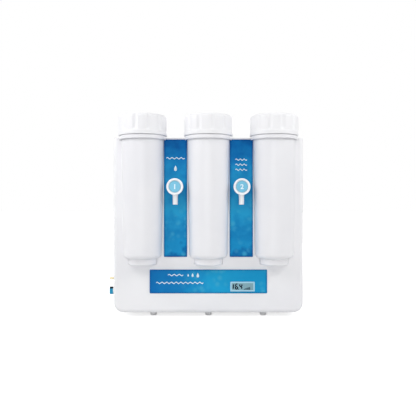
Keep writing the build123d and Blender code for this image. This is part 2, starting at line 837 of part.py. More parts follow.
# Taps: distances below are measured forward from the casing's front face
barrel_start = label_thickness + tap_gasket_thickness
barrel_end = barrel_start + tap_barrel_length
ring_front = barrel_end + tap_ring_depth
button_front = ring_front - button_recess
button_back = button_front - button_thickness
button_floor = barrel_end - button_room_depth
guide_front = button_floor
room_front = guide_front - valve_wall
room_back = room_front - valve_room_depth
seat_back = room_back - valve_wall
poppet_front = seat_back - seat_gap
poppet_back = poppet_front - poppet_thickness
rear_room_back = poppet_back - button_travel - swing_gap
shank_end = -tap_shank_length
for side, centre_x in tap_places.items():
    forward = plane_to(centre_x, front_y, tap_z, (0, -1, 0))
    downward = plane_to(centre_x, front_y - spout_forward, tap_z, (0, 0, -1))

    with BuildPart() as tap_body:
        rod(forward, shank_end, barrel_start, tap_shank_radius)
        rod(forward, barrel_start, barrel_end, tap_barrel_radius)
        rod(downward, 0, spout_reach, spout_radius)
        rod(downward, 0, spout_root_reach, spout_root_radius)
        fillet(tap_body.edges().group_by(Axis.Z)[0], spout_round)
        rod(forward, button_floor, barrel_end + cut_overrun, button_radius + 2 * swing_gap, Mode.SUBTRACT)
        guide_r = stem_radius + running_gap
        rod(forward, room_front - cut_overrun, guide_front + cut_overrun, guide_r, Mode.SUBTRACT)
        rod(forward, room_back, room_front, valve_room_radius, Mode.SUBTRACT)
        rod(forward, seat_back - cut_overrun, room_back + cut_overrun, valve_seat_radius, Mode.SUBTRACT)
        rod(forward, rear_room_back, seat_back, valve_room_radius, Mode.SUBTRACT)
        rod(forward, shank_end - cut_overrun, rear_room_back, tube_bore_radius, Mode.SUBTRACT)
        rod(forward, shank_end - cut_overrun, shank_end + socket_depth, socket_radius, Mode.SUBTRACT)
        rod(downward, 0, spout_reach + cut_overrun, spout_bore_radius, Mode.SUBTRACT)
    keep(tap_body.part, f"{side}_tap_body")

    with BuildPart() as tap_ring:
        rod(forward, barrel_end - tap_ring_skirt, ring_front, tap_ring_radius)
        front_edge = tap_ring.edges().sort_by(Axis.Y)[0]
        fillet(front_edge, tap_ring_round)
        rod(forward, barrel_end - tap_ring_skirt, barrel_end, tap_barrel_radius + seat_gap, Mode.SUBTRACT)
        mouth_r = button_radius + swing_gap
        rod(forward, barrel_end - cut_overrun, ring_front + cut_overrun, mouth_r, Mode.SUBTRACT)
        front_circles = tap_ring.edges().filter_by(GeomType.CIRCLE).group_by(Axis.Y)[0]
        chamfer(front_circles.sort_by(SortBy.RADIUS)[0], tap_ring_bevel)
    keep(tap_ring.part, f"{side}_tap_ring")

    with BuildPart() as tap_button:
        rod(forward, button_back, button_front, button_radius)
        fillet(tap_button.edges().sort_by(Axis.Y)[0], button_round)
        rod(forward, button_back - button_hub_length, button_back, button_hub_radius)
        rod(forward, button_back - button_hub_length, button_back, stem_radius, Mode.SUBTRACT)
    keep(tap_button.part, f"{side}_tap_button")

    with BuildPart() as tap_stem:
        rod(forward, poppet_front, button_back, stem_radius)
        rod(forward, poppet_back, poppet_front, poppet_radius)
    keep(tap_stem.part, f"{side}_tap_stem")

    with BuildPart() as tap_spring:
        spring_length = button_back - button_floor - 2 * (spring_wire_radius + running_gap)
        spring_foot_y = front_y - button_floor - spring_wire_radius - running_gap
        with BuildLine() as coil:
            Helix(
                spring_length / spring_turns,
                spring_length,
                spring_radius,
                center=(centre_x, spring_foot_y, tap_z),
                direction=(0, -1, 0),
            )
        with BuildSketch(coil.line ^ 0):
            Circle(spring_wire_radius)
        sweep(path=coil.line, is_frenet=True)
    keep(tap_spring.part, f"{side}_tap_spring")

with BuildPart() as tap_gaskets:
    for centre_x in tap_places.values():
        forward = plane_to(centre_x, front_y, tap_z, (0, -1, 0))
        rod(forward, label_thickness, barrel_start, tap_gasket_radius)
        rod(forward, label_thickness, barrel_start, tap_shank_radius + seat_gap, Mode.SUBTRACT)
keep(tap_gaskets.part, "tap_gaskets")

with BuildPart() as tap_nuts:
    for centre_x in tap_places.values():
        forward = plane_to(centre_x, front_y, tap_z, (0, -1, 0))
        hex_bar(forward, -casing_wall - tap_nut_height, -casing_wall, tap_nut_flats)
        rod(forward, -casing_wall - tap_nut_height, -casing_wall, tap_shank_radius + seat_gap, Mode.SUBTRACT)
keep(tap_nuts.part, "tap_nuts")

# Side fittings: distances are measured outward from the casing's left face
feed_out = plane_to(-side_x, fitting_y, feed_z, (-1, 0, 0))
drain_out = plane_to(-side_x, fitting_y, drain_z, (-1, 0, 0))
shank_inner = -casing_wall - shank_reach
nipple_end = feed_hex_length + feed_nipple_length
with BuildPart() as feed_fitting:
    rod(feed_out, shank_inner, 0, shank_radius)
    hex_bar(feed_out, 0, feed_hex_length, feed_hex_flats)
    rod(feed_out, feed_hex_length, nipple_end, feed_nipple_radius)
    rod(feed_out, shank_inner - cut_overrun, nipple_end + cut_overrun, shank_bore_radius, Mode.SUBTRACT)
keep(feed_fitting.part, "feed_fitting")

valve_end = valve_flange_length + valve_body_length
branch_place = valve_flange_length + valve_body_length / 2
branch_back = plane_to(-side_x - branch_place, fitting_y, drain_z, (0, 1, 0))
with BuildPart() as valve_body:
    rod(drain_out, shank_inner, 0, shank_radius)
    rod(drain_out, 0, valve_flange_length, valve_flange_radius)
    rod(drain_out, valve_flange_length, valve_end, valve_body_radius)
    rod(branch_back, 0, valve_branch_length, valve_branch_radius)
    rod(drain_out, valve_flange_length, valve_end + cut_overrun, cock_radius + running_gap, Mode.SUBTRACT)
    rod(drain_out, shank_inner - cut_overrun, valve_flange_length, shank_bore_radius, Mode.SUBTRACT)
    rod(drain_out, shank_inner - cut_overrun, shank_inner + socket_depth, socket_radius, Mode.SUBTRACT)
    rod(branch_back, 0, valve_branch_length + cut_overrun, cock_way_radius, Mode.SUBTRACT)
    branch_socket = valve_branch_length - socket_depth
    rod(branch_back, branch_socket, valve_branch_length + cut_overrun, socket_radius, Mode.SUBTRACT)
keep(valve_body.part, "valve_body")

handle_start = valve_end + swing_gap
with BuildPart() as valve_plug:
    rod(drain_out, valve_flange_length + swing_gap, handle_start, cock_radius)
    rod(drain_out, handle_start, handle_start + handle_depth / 2, cock_neck_radius)
    rod(drain_out, valve_flange_length, branch_place, cock_way_radius, Mode.SUBTRACT)
    cross_way = plane_to(-side_x - branch_place, fitting_y, drain_z, (0, 0, 1))
    rod(cross_way, -2 * cock_radius, 2 * cock_radius, cock_way_radius, Mode.SUBTRACT)
keep(valve_plug.part, "valve_plug")

with BuildPart() as valve_handle:
    with BuildSketch(drain_out.offset(handle_start)):
        SlotOverall(handle_length, handle_width)
    extrude(amount=handle_depth)
    fillet(valve_handle.faces().sort_by(Axis.X)[0].edges(), handle_round)
    rod(drain_out, handle_start, handle_start + handle_depth / 2, cock_neck_radius, Mode.SUBTRACT)
keep(valve_handle.part, "valve_handle")

with BuildPart() as bulkhead_nuts:
    for outward in (feed_out, drain_out):
        nut_start = -casing_wall - bulkhead_nut_height
        hex_bar(outward, nut_start, -casing_wall, bulkhead_nut_flats)
        rod(outward, nut_start, -casing_wall, shank_radius + seat_gap, Mode.SUBTRACT)
keep(bulkhead_nuts.part, "bulkhead_nuts")

# Inlet solenoid valve, screwed on the inner end of the feed fitting
solenoid_start_x = -side_x - shank_inner
solenoid_end_x = solenoid_start_x + solenoid_length
solenoid_mid_x = solenoid_start_x + solenoid_length / 2
with BuildPart() as solenoid_valve:
    with BuildSketch(plane_to(solenoid_start_x, fitting_y, feed_z, (1, 0, 0))):
        RectangleRounded(solenoid_width, solenoid_width, solenoid_round)
    extrude(amount=solenoid_length)
    inward = plane_to(solenoid_end_x, fitting_y, feed_z, (1, 0, 0))
    rod(inward, 0, solenoid_outlet_length, solenoid_outlet_radius)
    rod(inward, -solenoid_length - cut_overrun, solenoid_outlet_length, shank_bore_radius, Mode.SUBTRACT)
    outlet_socket = solenoid_outlet_length - socket_depth
    rod(inward, outlet_socket, solenoid_outlet_length + cut_overrun, socket_radius, Mode.SUBTRACT)
keep(solenoid_valve.part, "solenoid_valve")

coil_plane = plane_to(solenoid_mid_x, fitting_y, feed_z + solenoid_width / 2, (0, 0, 1))
with BuildPart() as solenoid_coil:
    rod(coil_plane, 0, coil_height, coil_radius)
    fillet(solenoid_coil.edges().filter_by(GeomType.CIRCLE), coil_edge_round)
    rod(coil_plane, coil_height, coil_height + armature_height, armature_radius)
keep(solenoid_coil.part, "solenoid_coil")

# Booster pump on a cradle that stands on four rubber mounts
pump_y = (split_y + rear_y) / 2
plate_z = floor_z + pump_mount_height
pump_z = plate_z + pump_plate_thickness + cradle_lift + motor_radius
head_end_x = -port_spacing + head_port_margin
head_start_x = head_end_x - head_length
motor_end_x = head_end_x + motor_length
head_top_z = pump_z + head_size / 2
port_top_z = head_top_z + head_port_height
outlet_x = -port_spacing
inlet_x = outlet_x - head_port_spacing
with BuildPart() as pump_motor:
    along = plane_to(head_end_x, pump_y, pump_z, (1, 0, 0))
    rod(along, 0, motor_length, motor_radius)
    rod(along, 0, motor_rim_length, motor_rim_radius)
    rod(along, motor_length - motor_rim_length, motor_length, motor_rim_radius)
    fillet(pump_motor.edges().sort_by(Axis.X)[-1], motor_rim_length / 3)
    rod(along, motor_length, motor_length + motor_tail_length, motor_tail_radius)
keep(pump_motor.part, "pump_motor")

with BuildPart() as pump_head:
    with BuildSketch(plane_to(head_start_x, pump_y, pump_z, (1, 0, 0))):
        RectangleRounded(head_size, head_size, head_round)
    extrude(amount=head_length)
    with BuildSketch(plane_to(head_end_x - head_plate_length, pump_y, pump_z, (1, 0, 0))):
        RectangleRounded(head_plate_size, head_plate_size, head_round)
    extrude(amount=head_plate_length)
    for port_x in (inlet_x, outlet_x):
        upward = plane_to(port_x, pump_y, head_top_z, (0, 0, 1))
        rod(upward, -head_round, head_port_height, port_radius)
        rod(upward, -head_round, head_port_height + cut_overrun, tube_bore_radius, Mode.SUBTRACT)
        port_socket = head_port_height - socket_depth
        rod(upward, port_socket, head_port_height + cut_overrun, socket_radius, Mode.SUBTRACT)
keep(pump_head.part, "pump_head")

cradle_start_x = head_end_x + motor_rim_length + swing_gap
cradle_end_x = motor_end_x - motor_rim_length - swing_gap
plate_start_x = head_start_x - pump_plate_margin
plate_end_x = motor_end_x + pump_plate_margin
plate_mid_x = (plate_start_x + plate_end_x) / 2
plate_length = plate_end_x - plate_start_x
with BuildPart() as pump_bracket:
    with Locations((plate_mid_x, pump_y, plate_z)):
        Box(
            plate_length,
            pump_plate_width,
            pump_plate_thickness,
            align=(Align.CENTER, Align.CENTER, Align.MIN),
        )
    for rib_x in (cradle_start_x, cradle_end_x - cradle_thickness):
        with Locations((rib_x, pump_y, plate_z)):
            Box(
                cradle_thickness,
                pump_plate_width,
                pump_plate_thickness + cradle_lift + cradle_rise,
                align=(Align.MIN, Align.CENTER, Align.MIN),
            )
    along = plane_to(head_end_x, pump_y, pump_z, (1, 0, 0))
    rod(along, 0, motor_length, motor_radius + seat_gap, Mode.SUBTRACT)
keep(pump_bracket.part, "pump_bracket")

with BuildPart() as pump_mounts:
    for mount_x in (plate_start_x + pump_mount_inset, plate_end_x - pump_mount_inset):
        for reach in (-1, 1):
            mount_y = pump_y + reach * (pump_plate_width / 2 - pump_mount_inset)
            with BuildSketch(Plane(origin=(mount_x, mount_y, floor_z), x_dir=(1, 0, 0), z_dir=(0, -1, 0))):
                with BuildLine():
                    Polyline((0, 0), (pump_mount_radius, 0))
                    ThreePointArc(
                        (pump_mount_radius, 0),
                        (pump_mount_waist, pump_mount_height / 2),
                        (pump_mount_radius, pump_mount_height),
                    )
                    Polyline((pump_mount_radius, pump_mount_height), (0, pump_mount_height), (0, 0))
                make_face()
            revolve(axis=Axis((mount_x, mount_y, 0), (0, 0, 1)))
keep(pump_mounts.part, "pump_mounts")

with BuildPart() as pressure_switch:
    leftward = plane_to(head_start_x, pump_y, pump_z, (-1, 0, 0))
    switch_start = switch_hex_length
    switch_end = switch_start + switch_length
    hex_bar(leftward, 0, switch_start, switch_hex_flats)
    rod(leftward, switch_start, switch_end, switch_radius)
    with Locations((head_start_x - switch_end, pump_y, pump_z)):
        with GridLocations(switch_blade_length, switch_radius, 1, 2):
            Box(
                2 * switch_blade_length,
                switch_blade_thickness,
                switch_blade_width,
            )
keep(pressure_switch.part, "pressure_switch")

# Permeate tee between the middle and right canisters
permeate_y = port_end_y + permeate_run
tee_x = tap_places["right"]
with BuildPart() as permeate_tee:
    along = plane_to(tee_x, permeate_y, port_z, (1, 0, 0))
    upward = plane_to(tee_x, permeate_y, port_z, (0, 0, 1))
    rod(along, -tee_arm, tee_arm, tee_radius)
    rod(upward, 0, tee_arm, tee_radius)
    for arm in (along, upward, plane_to(tee_x, permeate_y, port_z, (-1, 0, 0))):
        rod(arm, 0, tee_arm, tube_bore_radius, Mode.SUBTRACT)
        rod(arm, tee_arm - socket_depth, tee_arm + cut_overrun, socket_radius, Mode.SUBTRACT)
keep(permeate_tee.part, "permeate_tee")

# Resistivity cell in the product line, with its probe screwed in from behind
product_x = canister_places["right"] + port_spacing
product_y = port_end_y + product_run
cell_low_z = port_z + cell_rise
cell_top_z = cell_low_z + cell_length
with BuildPart() as resistivity_cell:
    upward = plane_to(product_x, product_y, cell_low_z, (0, 0, 1))
    rod(upward, 0, cell_length, cell_radius)
    backward = plane_to(product_x, product_y, cell_low_z + cell_length / 2, (0, 1, 0))
    rod(backward, 0, cell_probe_length, cell_probe_radius)
    rod(backward, cell_probe_length, cell_probe_length + cell_cap_length, cell_cap_radius)
    rod(upward, 0, cell_length, tube_bore_radius, Mode.SUBTRACT)
    rod(upward, -cut_overrun, socket_depth, socket_radius, Mode.SUBTRACT)
    rod(upward, cell_length - socket_depth, cell_length + cut_overrun, socket_radius, Mode.SUBTRACT)
keep(resistivity_cell.part, "resistivity_cell")

# Water tubes: each end stands on the bottom of its socket
port_seat_y = port_end_y - socket_depth
left_in_x = canister_places["left"] - port_spacing
left_out_x = canister_places["left"] + port_spacing
feed_end_x = solenoid_end_x + solenoid_outlet_length
feed_turn_x = feed_end_x + feed_run
feed_back_y = fitting_y + feed_return
feed_points = [
    (feed_end_x - socket_depth, fitting_y, feed_z),
    (feed_turn_x, fitting_y, feed_z),
    (feed_turn_x, feed_back_y, feed_z),
    (left_in_x, feed_back_y, feed_z),
    (left_in_x, feed_back_y, port_z),
    (left_in_x, port_seat_y, port_z),
]
pump_in_y = port_end_y + pump_run
pump_points = [
    (left_out_x, port_seat_y, port_z),
    (left_out_x, pump_in_y, port_z),
    (inlet_x, pump_in_y, port_z),
    (inlet_x, pump_y, port_z),
    (inlet_x, pump_y, port_top_z - socket_depth),
]
boost_points = [
    (outlet_x, pump_y, port_top_z - socket_depth),
    (outlet_x, pump_y, port_z),
    (outlet_x, port_seat_y, port_z),
]
tee_seat = tee_arm - socket_depth
permeate_points = [
    (port_spacing, port_seat_y, port_z),
    (port_spacing, permeate_y, port_z),
    (tee_x - tee_seat, permeate_y, port_z),
]
polish_x = canister_places["right"] - port_spacing
polish_points = [
    (tee_x + tee_seat, permeate_y, port_z),
    (polish_x, permeate_y, port_z),
    (polish_x, port_seat_y, port_z),
]
tap_seat_y = front_y + tap_shank_length - socket_depth
permeate_tap_points = [
    (tee_x, permeate_y, port_z + tee_seat),
    (tee_x, permeate_y, tap_z),
    (tee_x, tap_seat_y, tap_z),
]
cell_points = [
    (product_x, port_seat_y, port_z),
    (product_x, product_y, port_z),
    (product_x, product_y, cell_low_z + socket_depth),
]
product_top_z = cell_top_z + product_rise
product_tap_points = [
    (product_x, product_y, cell_top_z - socket_depth),
    (product_x, product_y, product_top_z),
    (tap_places["left"], product_y, product_top_z),
    (tap_places["left"], product_y, tap_z),
    (tap_places["left"], tap_seat_y, tap_z),
]
drain_y = port_end_y + drain_run
drain_x = -side_x - shank_inner + drain_side_run
drain_points = [
    (0, port_seat_y, port_z),
    (0, drain_y, port_z),
    (drain_x, drain_y, port_z),
    (drain_x, drain_y, drain_z),
    (drain_x, fitting_y, drain_z),
    (-side_x - shank_inner - socket_depth, fitting_y, drain_z),
]

feed_routes = (feed_points, pump_points, boost_points)
feed_tubes = Compound(children=[tube_along(points, tube_bend) for points in feed_routes])
keep(feed_tubes, "feed_tubes")

product_routes = (permeate_points, polish_points, permeate_tap_points, cell_points, product_tap_points)
product_tubes = Compound(children=[tube_along(points, tube_bend) for points in product_routes])
keep(product_tubes, "product_tubes")

keep(tube_along(drain_points, tube_bend), "drain_tube")

# Power jack in the rear wall
jack_out = plane_to(jack_x, rear_y, casing_base_z + jack_rise, (0, 1, 0))
with BuildPart() as power_jack:
    rod(jack_out, -jack_barrel_length, 0, jack_barrel_radius)
    rod(jack_out, 0, jack_flange_length, jack_flange_radius)
    jack_floor = jack_flange_length - jack_hole_depth
    rod(jack_out, jack_floor, jack_flange_length, jack_hole_radius, Mode.SUBTRACT)
    rod(jack_out, jack_floor, 0, jack_pin_radius)
keep(power_jack.part, "power_jack")
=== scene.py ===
"""Looks of a bench-top laboratory water purifier, dressed around its packed construction.

Lengths are in metres in the construction's frame: +Z is up, the front faces -Y and +X is to the
viewer's right.
"""

import logging
import math
from abc import ABC, abstractmethod
from dataclasses import dataclass
from enum import Enum
from typing import Callable, ClassVar, Mapping, Optional, Sequence, Union

import bmesh
import bpy
from mathutils import Matrix, Vector


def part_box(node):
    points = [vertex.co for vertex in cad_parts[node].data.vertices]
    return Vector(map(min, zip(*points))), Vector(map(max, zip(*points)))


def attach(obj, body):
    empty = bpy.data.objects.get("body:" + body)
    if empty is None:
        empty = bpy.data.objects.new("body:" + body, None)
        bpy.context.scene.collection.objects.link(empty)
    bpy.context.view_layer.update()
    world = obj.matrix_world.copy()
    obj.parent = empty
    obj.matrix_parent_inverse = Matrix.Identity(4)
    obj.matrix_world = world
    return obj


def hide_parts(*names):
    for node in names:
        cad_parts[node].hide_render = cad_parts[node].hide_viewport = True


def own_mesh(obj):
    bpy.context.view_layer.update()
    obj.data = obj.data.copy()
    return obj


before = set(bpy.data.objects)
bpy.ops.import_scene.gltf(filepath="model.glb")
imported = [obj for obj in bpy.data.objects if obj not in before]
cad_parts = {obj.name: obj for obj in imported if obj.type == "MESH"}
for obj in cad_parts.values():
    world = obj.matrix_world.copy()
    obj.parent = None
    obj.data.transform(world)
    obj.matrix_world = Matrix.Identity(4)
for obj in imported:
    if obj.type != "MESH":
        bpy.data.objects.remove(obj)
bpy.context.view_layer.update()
log = logging.getLogger("water_purifier")

Colour = tuple[float, float, float, float]
Triple = tuple[float, float, float]
Pair = tuple[float, float]
Outline = Sequence[Pair]
Reshape = Callable[[float, float, float], float]
Socket = bpy.types.NodeSocket
Sockets = Mapping[str, Socket]
Feed = Union[Socket, float, Sequence[float]]
Feeds = Mapping[Union[str, int], Feed]

CASING_BODY = "casing"
FULL_TURN = 2 * math.pi
RIGHT_ANGLE = math.pi / 2
MATRIX_SIZE = 4
NOISE_MIDDLE = 0.5
WHITE: Colour = (1.0, 1.0, 1.0, 1.0)

# Ends of the arcs in a profile, in degrees from straight out.
ARC_FOOT = -90.0
ARC_SIDE = 0.0
ARC_TOP = 90.0

# Screen levels and linear light, as the sRGB standard ties them.
TOP_LEVEL = 255
LINEAR_END = 0.04045
LINEAR_SLOPE = 12.92
CURVE_OFFSET = 0.055
CURVE_POWER = 2.4

# Numbers of the Mix node's sockets when it mixes colours.
MIX_SHARE = 0
MIX_FIRST = 6
MIX_SECOND = 7
MIX_RESULT = 2

MERGE_DISTANCE = 1e-7
TURNED_CREASE_DEGREES = 38.0
FLAT_CREASE_DEGREES = 30.0
WIRE_CREASE_DEGREES = 40.0


def linear(level: int) -> float:
    """One channel of a colour, from its screen level to linear light.

    Args:
        level: The screen level, from 0 to 255.

    Returns:
        The light, from 0 to 1.
    """
    share = level / TOP_LEVEL
    if share <= LINEAR_END:
        return share / LINEAR_SLOPE
    return ((share + CURVE_OFFSET) / (1 + CURVE_OFFSET)) ** CURVE_POWER


def srgb(red: int, green: int, blue: int) -> Colour:
    """An opaque colour as screens show it, in the linear values that shaders use."""
    return (linear(red), linear(green), linear(blue), 1.0)


def clamp(value: float) -> float:
    """A value kept between 0 and 1."""
    return max(0.0, min(1.0, value))


class Side(Enum):
    """The three canister places, from the viewer's left."""

    LEFT = "left"
    MIDDLE = "middle"
    RIGHT = "right"


class Axis(Enum):
    """The way along which a print's colours change."""

    ACROSS = "X"
    UPWARD = "Z"


class SocketKind(Enum):
    """The kinds of value that a shared effect takes in and puts out."""

    VALUE = "NodeSocketFloat"
    VECTOR = "NodeSocketVector"
    COLOUR = "NodeSocketColor"


class Graph:
    """A node tree with short calls that add, set and join its nodes."""

    def __init__(self, tree: bpy.types.NodeTree) -> None:
        """Keep the tree that the calls work on."""
        self.tree = tree

    @classmethod
    def emptied(cls, owner: Union[bpy.types.Material, bpy.types.World]) -> "Graph":
        """Switch a material or a world to nodes and clear them.

        Args:
            owner: The material or the world.

        Returns:
            Its empty graph.
        """
        owner.use_nodes = True
        owner.node_tree.nodes.clear()
        return cls(owner.node_tree)

    def add(self, kind: str, feeds: Optional[Feeds] = None, **settings: object) -> bpy.types.Node:
        """Add a node.

        Args:
            kind: The node's type name.
            feeds: Output sockets to join or plain values to set, by the input's name or number.
            settings: The node's own settings.

        Returns:
            The new node.
        """
        node = self.tree.nodes.new(kind)
        for name, value in settings.items():
            setattr(node, name, value)
        for key, value in (feeds or {}).items():
            if isinstance(value, Socket):
                self.tree.links.new(value, node.inputs[key])
            else:
                node.inputs[key].default_value = value
        return node

    def math(self, operation: str, *values: Feed) -> Socket:
        """The result of a math node on up to three values."""
        return self.add("ShaderNodeMath", dict(enumerate(values)), operation=operation).outputs[0]

    def times(self, value: Feed, scale: Feed, *offset: Feed) -> Socket:
        """A value times a scale, plus an offset where one is given."""
        return self.math("MULTIPLY_ADD" if offset else "MULTIPLY", value, scale, *offset)

    def share(self, value: Feed, low: float, high: float, course: str = "LINEAR") -> Socket:
        """How far a value lies from a low end to a high one, from 0 to 1."""
        feeds = {"Value": value, "From Min": low, "From Max": high}
        return self.add("ShaderNodeMapRange", feeds, interpolation_type=course).outputs[0]

    def ease(self, value: Feed, low: float, high: float) -> Socket:
        """A smooth step from 0 at the low value to 1 at the high one."""
        return self.share(value, low, high, "SMOOTHSTEP")

    def mix(self, share: Feed, first: Feed, second: Feed) -> Socket:
        """Two colours mixed by a share."""
        feeds = {MIX_SHARE: share, MIX_FIRST: first, MIX_SECOND: second}
        return self.add("ShaderNodeMix", feeds, data_type="RGBA").outputs[MIX_RESULT]

    def noise(self, place: Feed, scale: Feed, detail: float) -> Socket:
        """Soft noise over a place, from 0 to 1."""
        feeds = {"Vector": place, "Scale": scale, "Detail": detail}
        return self.add("ShaderNodeTexNoise", feeds).outputs[0]

    def patches(self, place: Feed, scale: Feed, detail: float, change: Pair) -> Socket:
        """Noise drawn apart into patches, from 0 before its change to 1 after it."""
        return self.ease(self.noise(place, scale, detail), *change)

    def cells(self, place: Feed, scale: float, scatter: float) -> Socket:
        """The distance to the nearest of many points, in a grid or scattered."""
        feeds = {"Vector": place, "Scale": scale, "Randomness": scatter}
        return self.add("ShaderNodeTexVoronoi", feeds, feature="F1").outputs["Distance"]

    def stretch(self, place: Feed, scale: Triple) -> Socket:
        """A place scaled along its three axes."""
        return self.add("ShaderNodeMapping", {"Vector": place, "Scale": scale}).outputs[0]

    def apart(self, vector: Feed) -> Sockets:
        """The parts of a vector, by axis."""
        return self.add("ShaderNodeSeparateXYZ", {0: vector}).outputs

    def bump(self, height: Socket, depth: float, **base: Socket) -> Socket:
        """The normal of a surface raised by a height, on a base Normal where one is given."""
        return self.add("ShaderNodeBump", {"Height": height, "Distance": depth, **base}).outputs[0]

    def ramp(self, value: Feed, stops: Sequence[tuple[float, Colour]]) -> Socket:
        """A colour ramp.

        Args:
            value: What the ramp reads, from 0 to 1.
            stops: Places on the ramp with their colours, in order.

        Returns:
            The colour output.
        """
        node = self.add("ShaderNodeValToRGB", {"Fac": value})
        elements = node.color_ramp.elements
        while len(elements) < len(stops):
            elements.new(1.0)
        for element, (place, colour) in zip(elements, stops):
            element.position = place
            element.color = colour
        return node.outputs[0]

    def effect(self, effect: "Effect", **feeds: Feed) -> Sockets:
        """Place a shared effect in this tree with its own values, and give its outputs."""
        return self.add("ShaderNodeGroup", feeds, node_tree=effect.value.group()).outputs


class SharedEffect(ABC):
    """A surface effect that several finishes share, as a node group that is built once."""

    name: ClassVar[str]
    inputs: ClassVar[dict[str, SocketKind]] = {"Position": SocketKind.VECTOR, "Scale": SocketKind.VALUE}
    outputs: ClassVar[dict[str, SocketKind]] = {"Mask": SocketKind.VALUE}

    def group(self) -> bpy.types.NodeTree:
        """The effect's node group, made on its first use."""
        return bpy.data.node_groups.get(self.name) or self._make()

    def _make(self) -> bpy.types.NodeTree:
        """Make the group with its named sockets and wire it.

        Returns:
            The new group.
        """
        tree = bpy.data.node_groups.new(self.name, "ShaderNodeTree")
        for way, sockets in (("INPUT", self.inputs), ("OUTPUT", self.outputs)):
            for label, kind in sockets.items():
                tree.interface.new_socket(label, in_out=way, socket_type=kind.value)
        graph = Graph(tree)
        entry = graph.add("NodeGroupInput").outputs
        graph.add("NodeGroupOutput", self.wire(graph, entry))
        return tree

    @abstractmethod
    def wire(self, graph: Graph, entry: Sockets) -> Sockets:
        """Work the effect out.

        Args:
            graph: The group's graph.
            entry: The group's inputs.

        Returns:
            What each of the group's outputs gets.
        """


@dataclass(frozen=True)
class MouldedGrain(SharedEffect):
    """Fine pebbled texture of a mould, with a slow waviness under it."""

    name = "moulded_grain"
    outputs = {"Height": SocketKind.VALUE}
    fine_detail: float = 3.0
    slow_scale_share: float = 0.06
    slow_detail: float = 1.0
    slow_weight: float = 1.5

    def wire(self, graph: Graph, entry: Sockets) -> Sockets:
        """Lay the fine texture on the slow one.

        Args:
            graph: The group's graph.
            entry: Position and Scale.

        Returns:
            The Height.
        """
        fine = graph.noise(entry["Position"], entry["Scale"], self.fine_detail)
        slow_scale = graph.times(entry["Scale"], self.slow_scale_share)
        slow = graph.noise(entry["Position"], slow_scale, self.slow_detail)
        return {"Height": graph.times(slow, self.slow_weight, fine)}


@dataclass(frozen=True)
class ToneDrift(SharedEffect):
    """Slow drift between two close tones of one material."""

    name = "tone_drift"
    inputs = SharedEffect.inputs | {"Base": SocketKind.COLOUR, "Shade": SocketKind.COLOUR}
    outputs = {"Color": SocketKind.COLOUR}
    detail: float = 3.0
    change: Pair = (0.35, 0.7)

    def wire(self, graph: Graph, entry: Sockets) -> Sockets:
        """The Color, from Position, Scale, Base and Shade."""
        share = graph.patches(entry["Position"], entry["Scale"], self.detail, self.change)
        return {"Color": graph.mix(share, entry["Base"], entry["Shade"])}


@dataclass(frozen=True)
class FineScuffs(SharedEffect):
    """Thin rubbed streaks that handling leaves, as a mask."""

    name = "fine_scuffs"
    detail: float = 4.0
    upright_stretch: Triple = (1.0, 1.0, 0.05)
    upright_change: Pair = (0.6, 0.78)
    level_stretch: Triple = (0.06, 0.3, 1.0)
    level_change: Pair = (0.62, 0.8)

    def wire(self, graph: Graph, entry: Sockets) -> Sockets:
        """Join upright and level streaks.

        Args:
            graph: The group's graph.
            entry: Position and Scale.

        Returns:
            The Mask.
        """
        masks = []
        for stretch, change in ((self.upright_stretch, self.upright_change),
                                (self.level_stretch, self.level_change)):
            place = graph.stretch(entry["Position"], stretch)
            masks.append(graph.patches(place, entry["Scale"], self.detail, change))
        return {"Mask": graph.math("MAXIMUM", *masks)}


@dataclass(frozen=True)
class SoftenedEdge(SharedEffect):
    """Normals rounded over sharp edges, and a mask of those edges."""

    name = "softened_edge"
    inputs = {"Radius": SocketKind.VALUE}
    outputs = {"Normal": SocketKind.VECTOR, "Mask": SocketKind.VALUE}
    samples: int = 6
    change: Pair = (0.995, 0.8)

    def wire(self, graph: Graph, entry: Sockets) -> Sockets:
        """Round the normals, and find where that turns them.

        Args:
            graph: The group's graph.
            entry: Radius.

        Returns:
            The Normal and the Mask.
        """
        soft = graph.add("ShaderNodeBevel", {"Radius": entry["Radius"]}, samples=self.samples).outputs[0]
        plain = graph.add("ShaderNodeNewGeometry").outputs["Normal"]
        agree = graph.add("ShaderNodeVectorMath", {0: soft, 1: plain}, operation="DOT_PRODUCT")
        return {"Normal": soft, "Mask": graph.ease(agree.outputs["Value"], *self.change)}


@dataclass(frozen=True)
class SettledDust(SharedEffect):
    """A thin uneven film on faces that look up, as a mask."""

    name = "settled_dust"
    detail: float = 4.0
    patch_change: Pair = (0.3, 0.75)
    upward_change: Pair = (0.4, 1.0)

    def wire(self, graph: Graph, entry: Sockets) -> Sockets:
        """Keep patches where the surface looks up.

        Args:
            graph: The group's graph.
            entry: Position and Scale.

        Returns:
            The Mask.
        """
        normal = graph.add("ShaderNodeNewGeometry").outputs["Normal"]
        upward = graph.ease(graph.apart(normal)["Z"], *self.upward_change)
        film = graph.patches(entry["Position"], entry["Scale"], self.detail, self.patch_change)
        return {"Mask": graph.times(upward, film)}


class Effect(Enum):
    """The effects that several finishes share."""

    GRAIN = MouldedGrain()
    DRIFT = ToneDrift()
    SCUFF = FineScuffs()
    EDGE = SoftenedEdge()
    DUST = SettledDust()


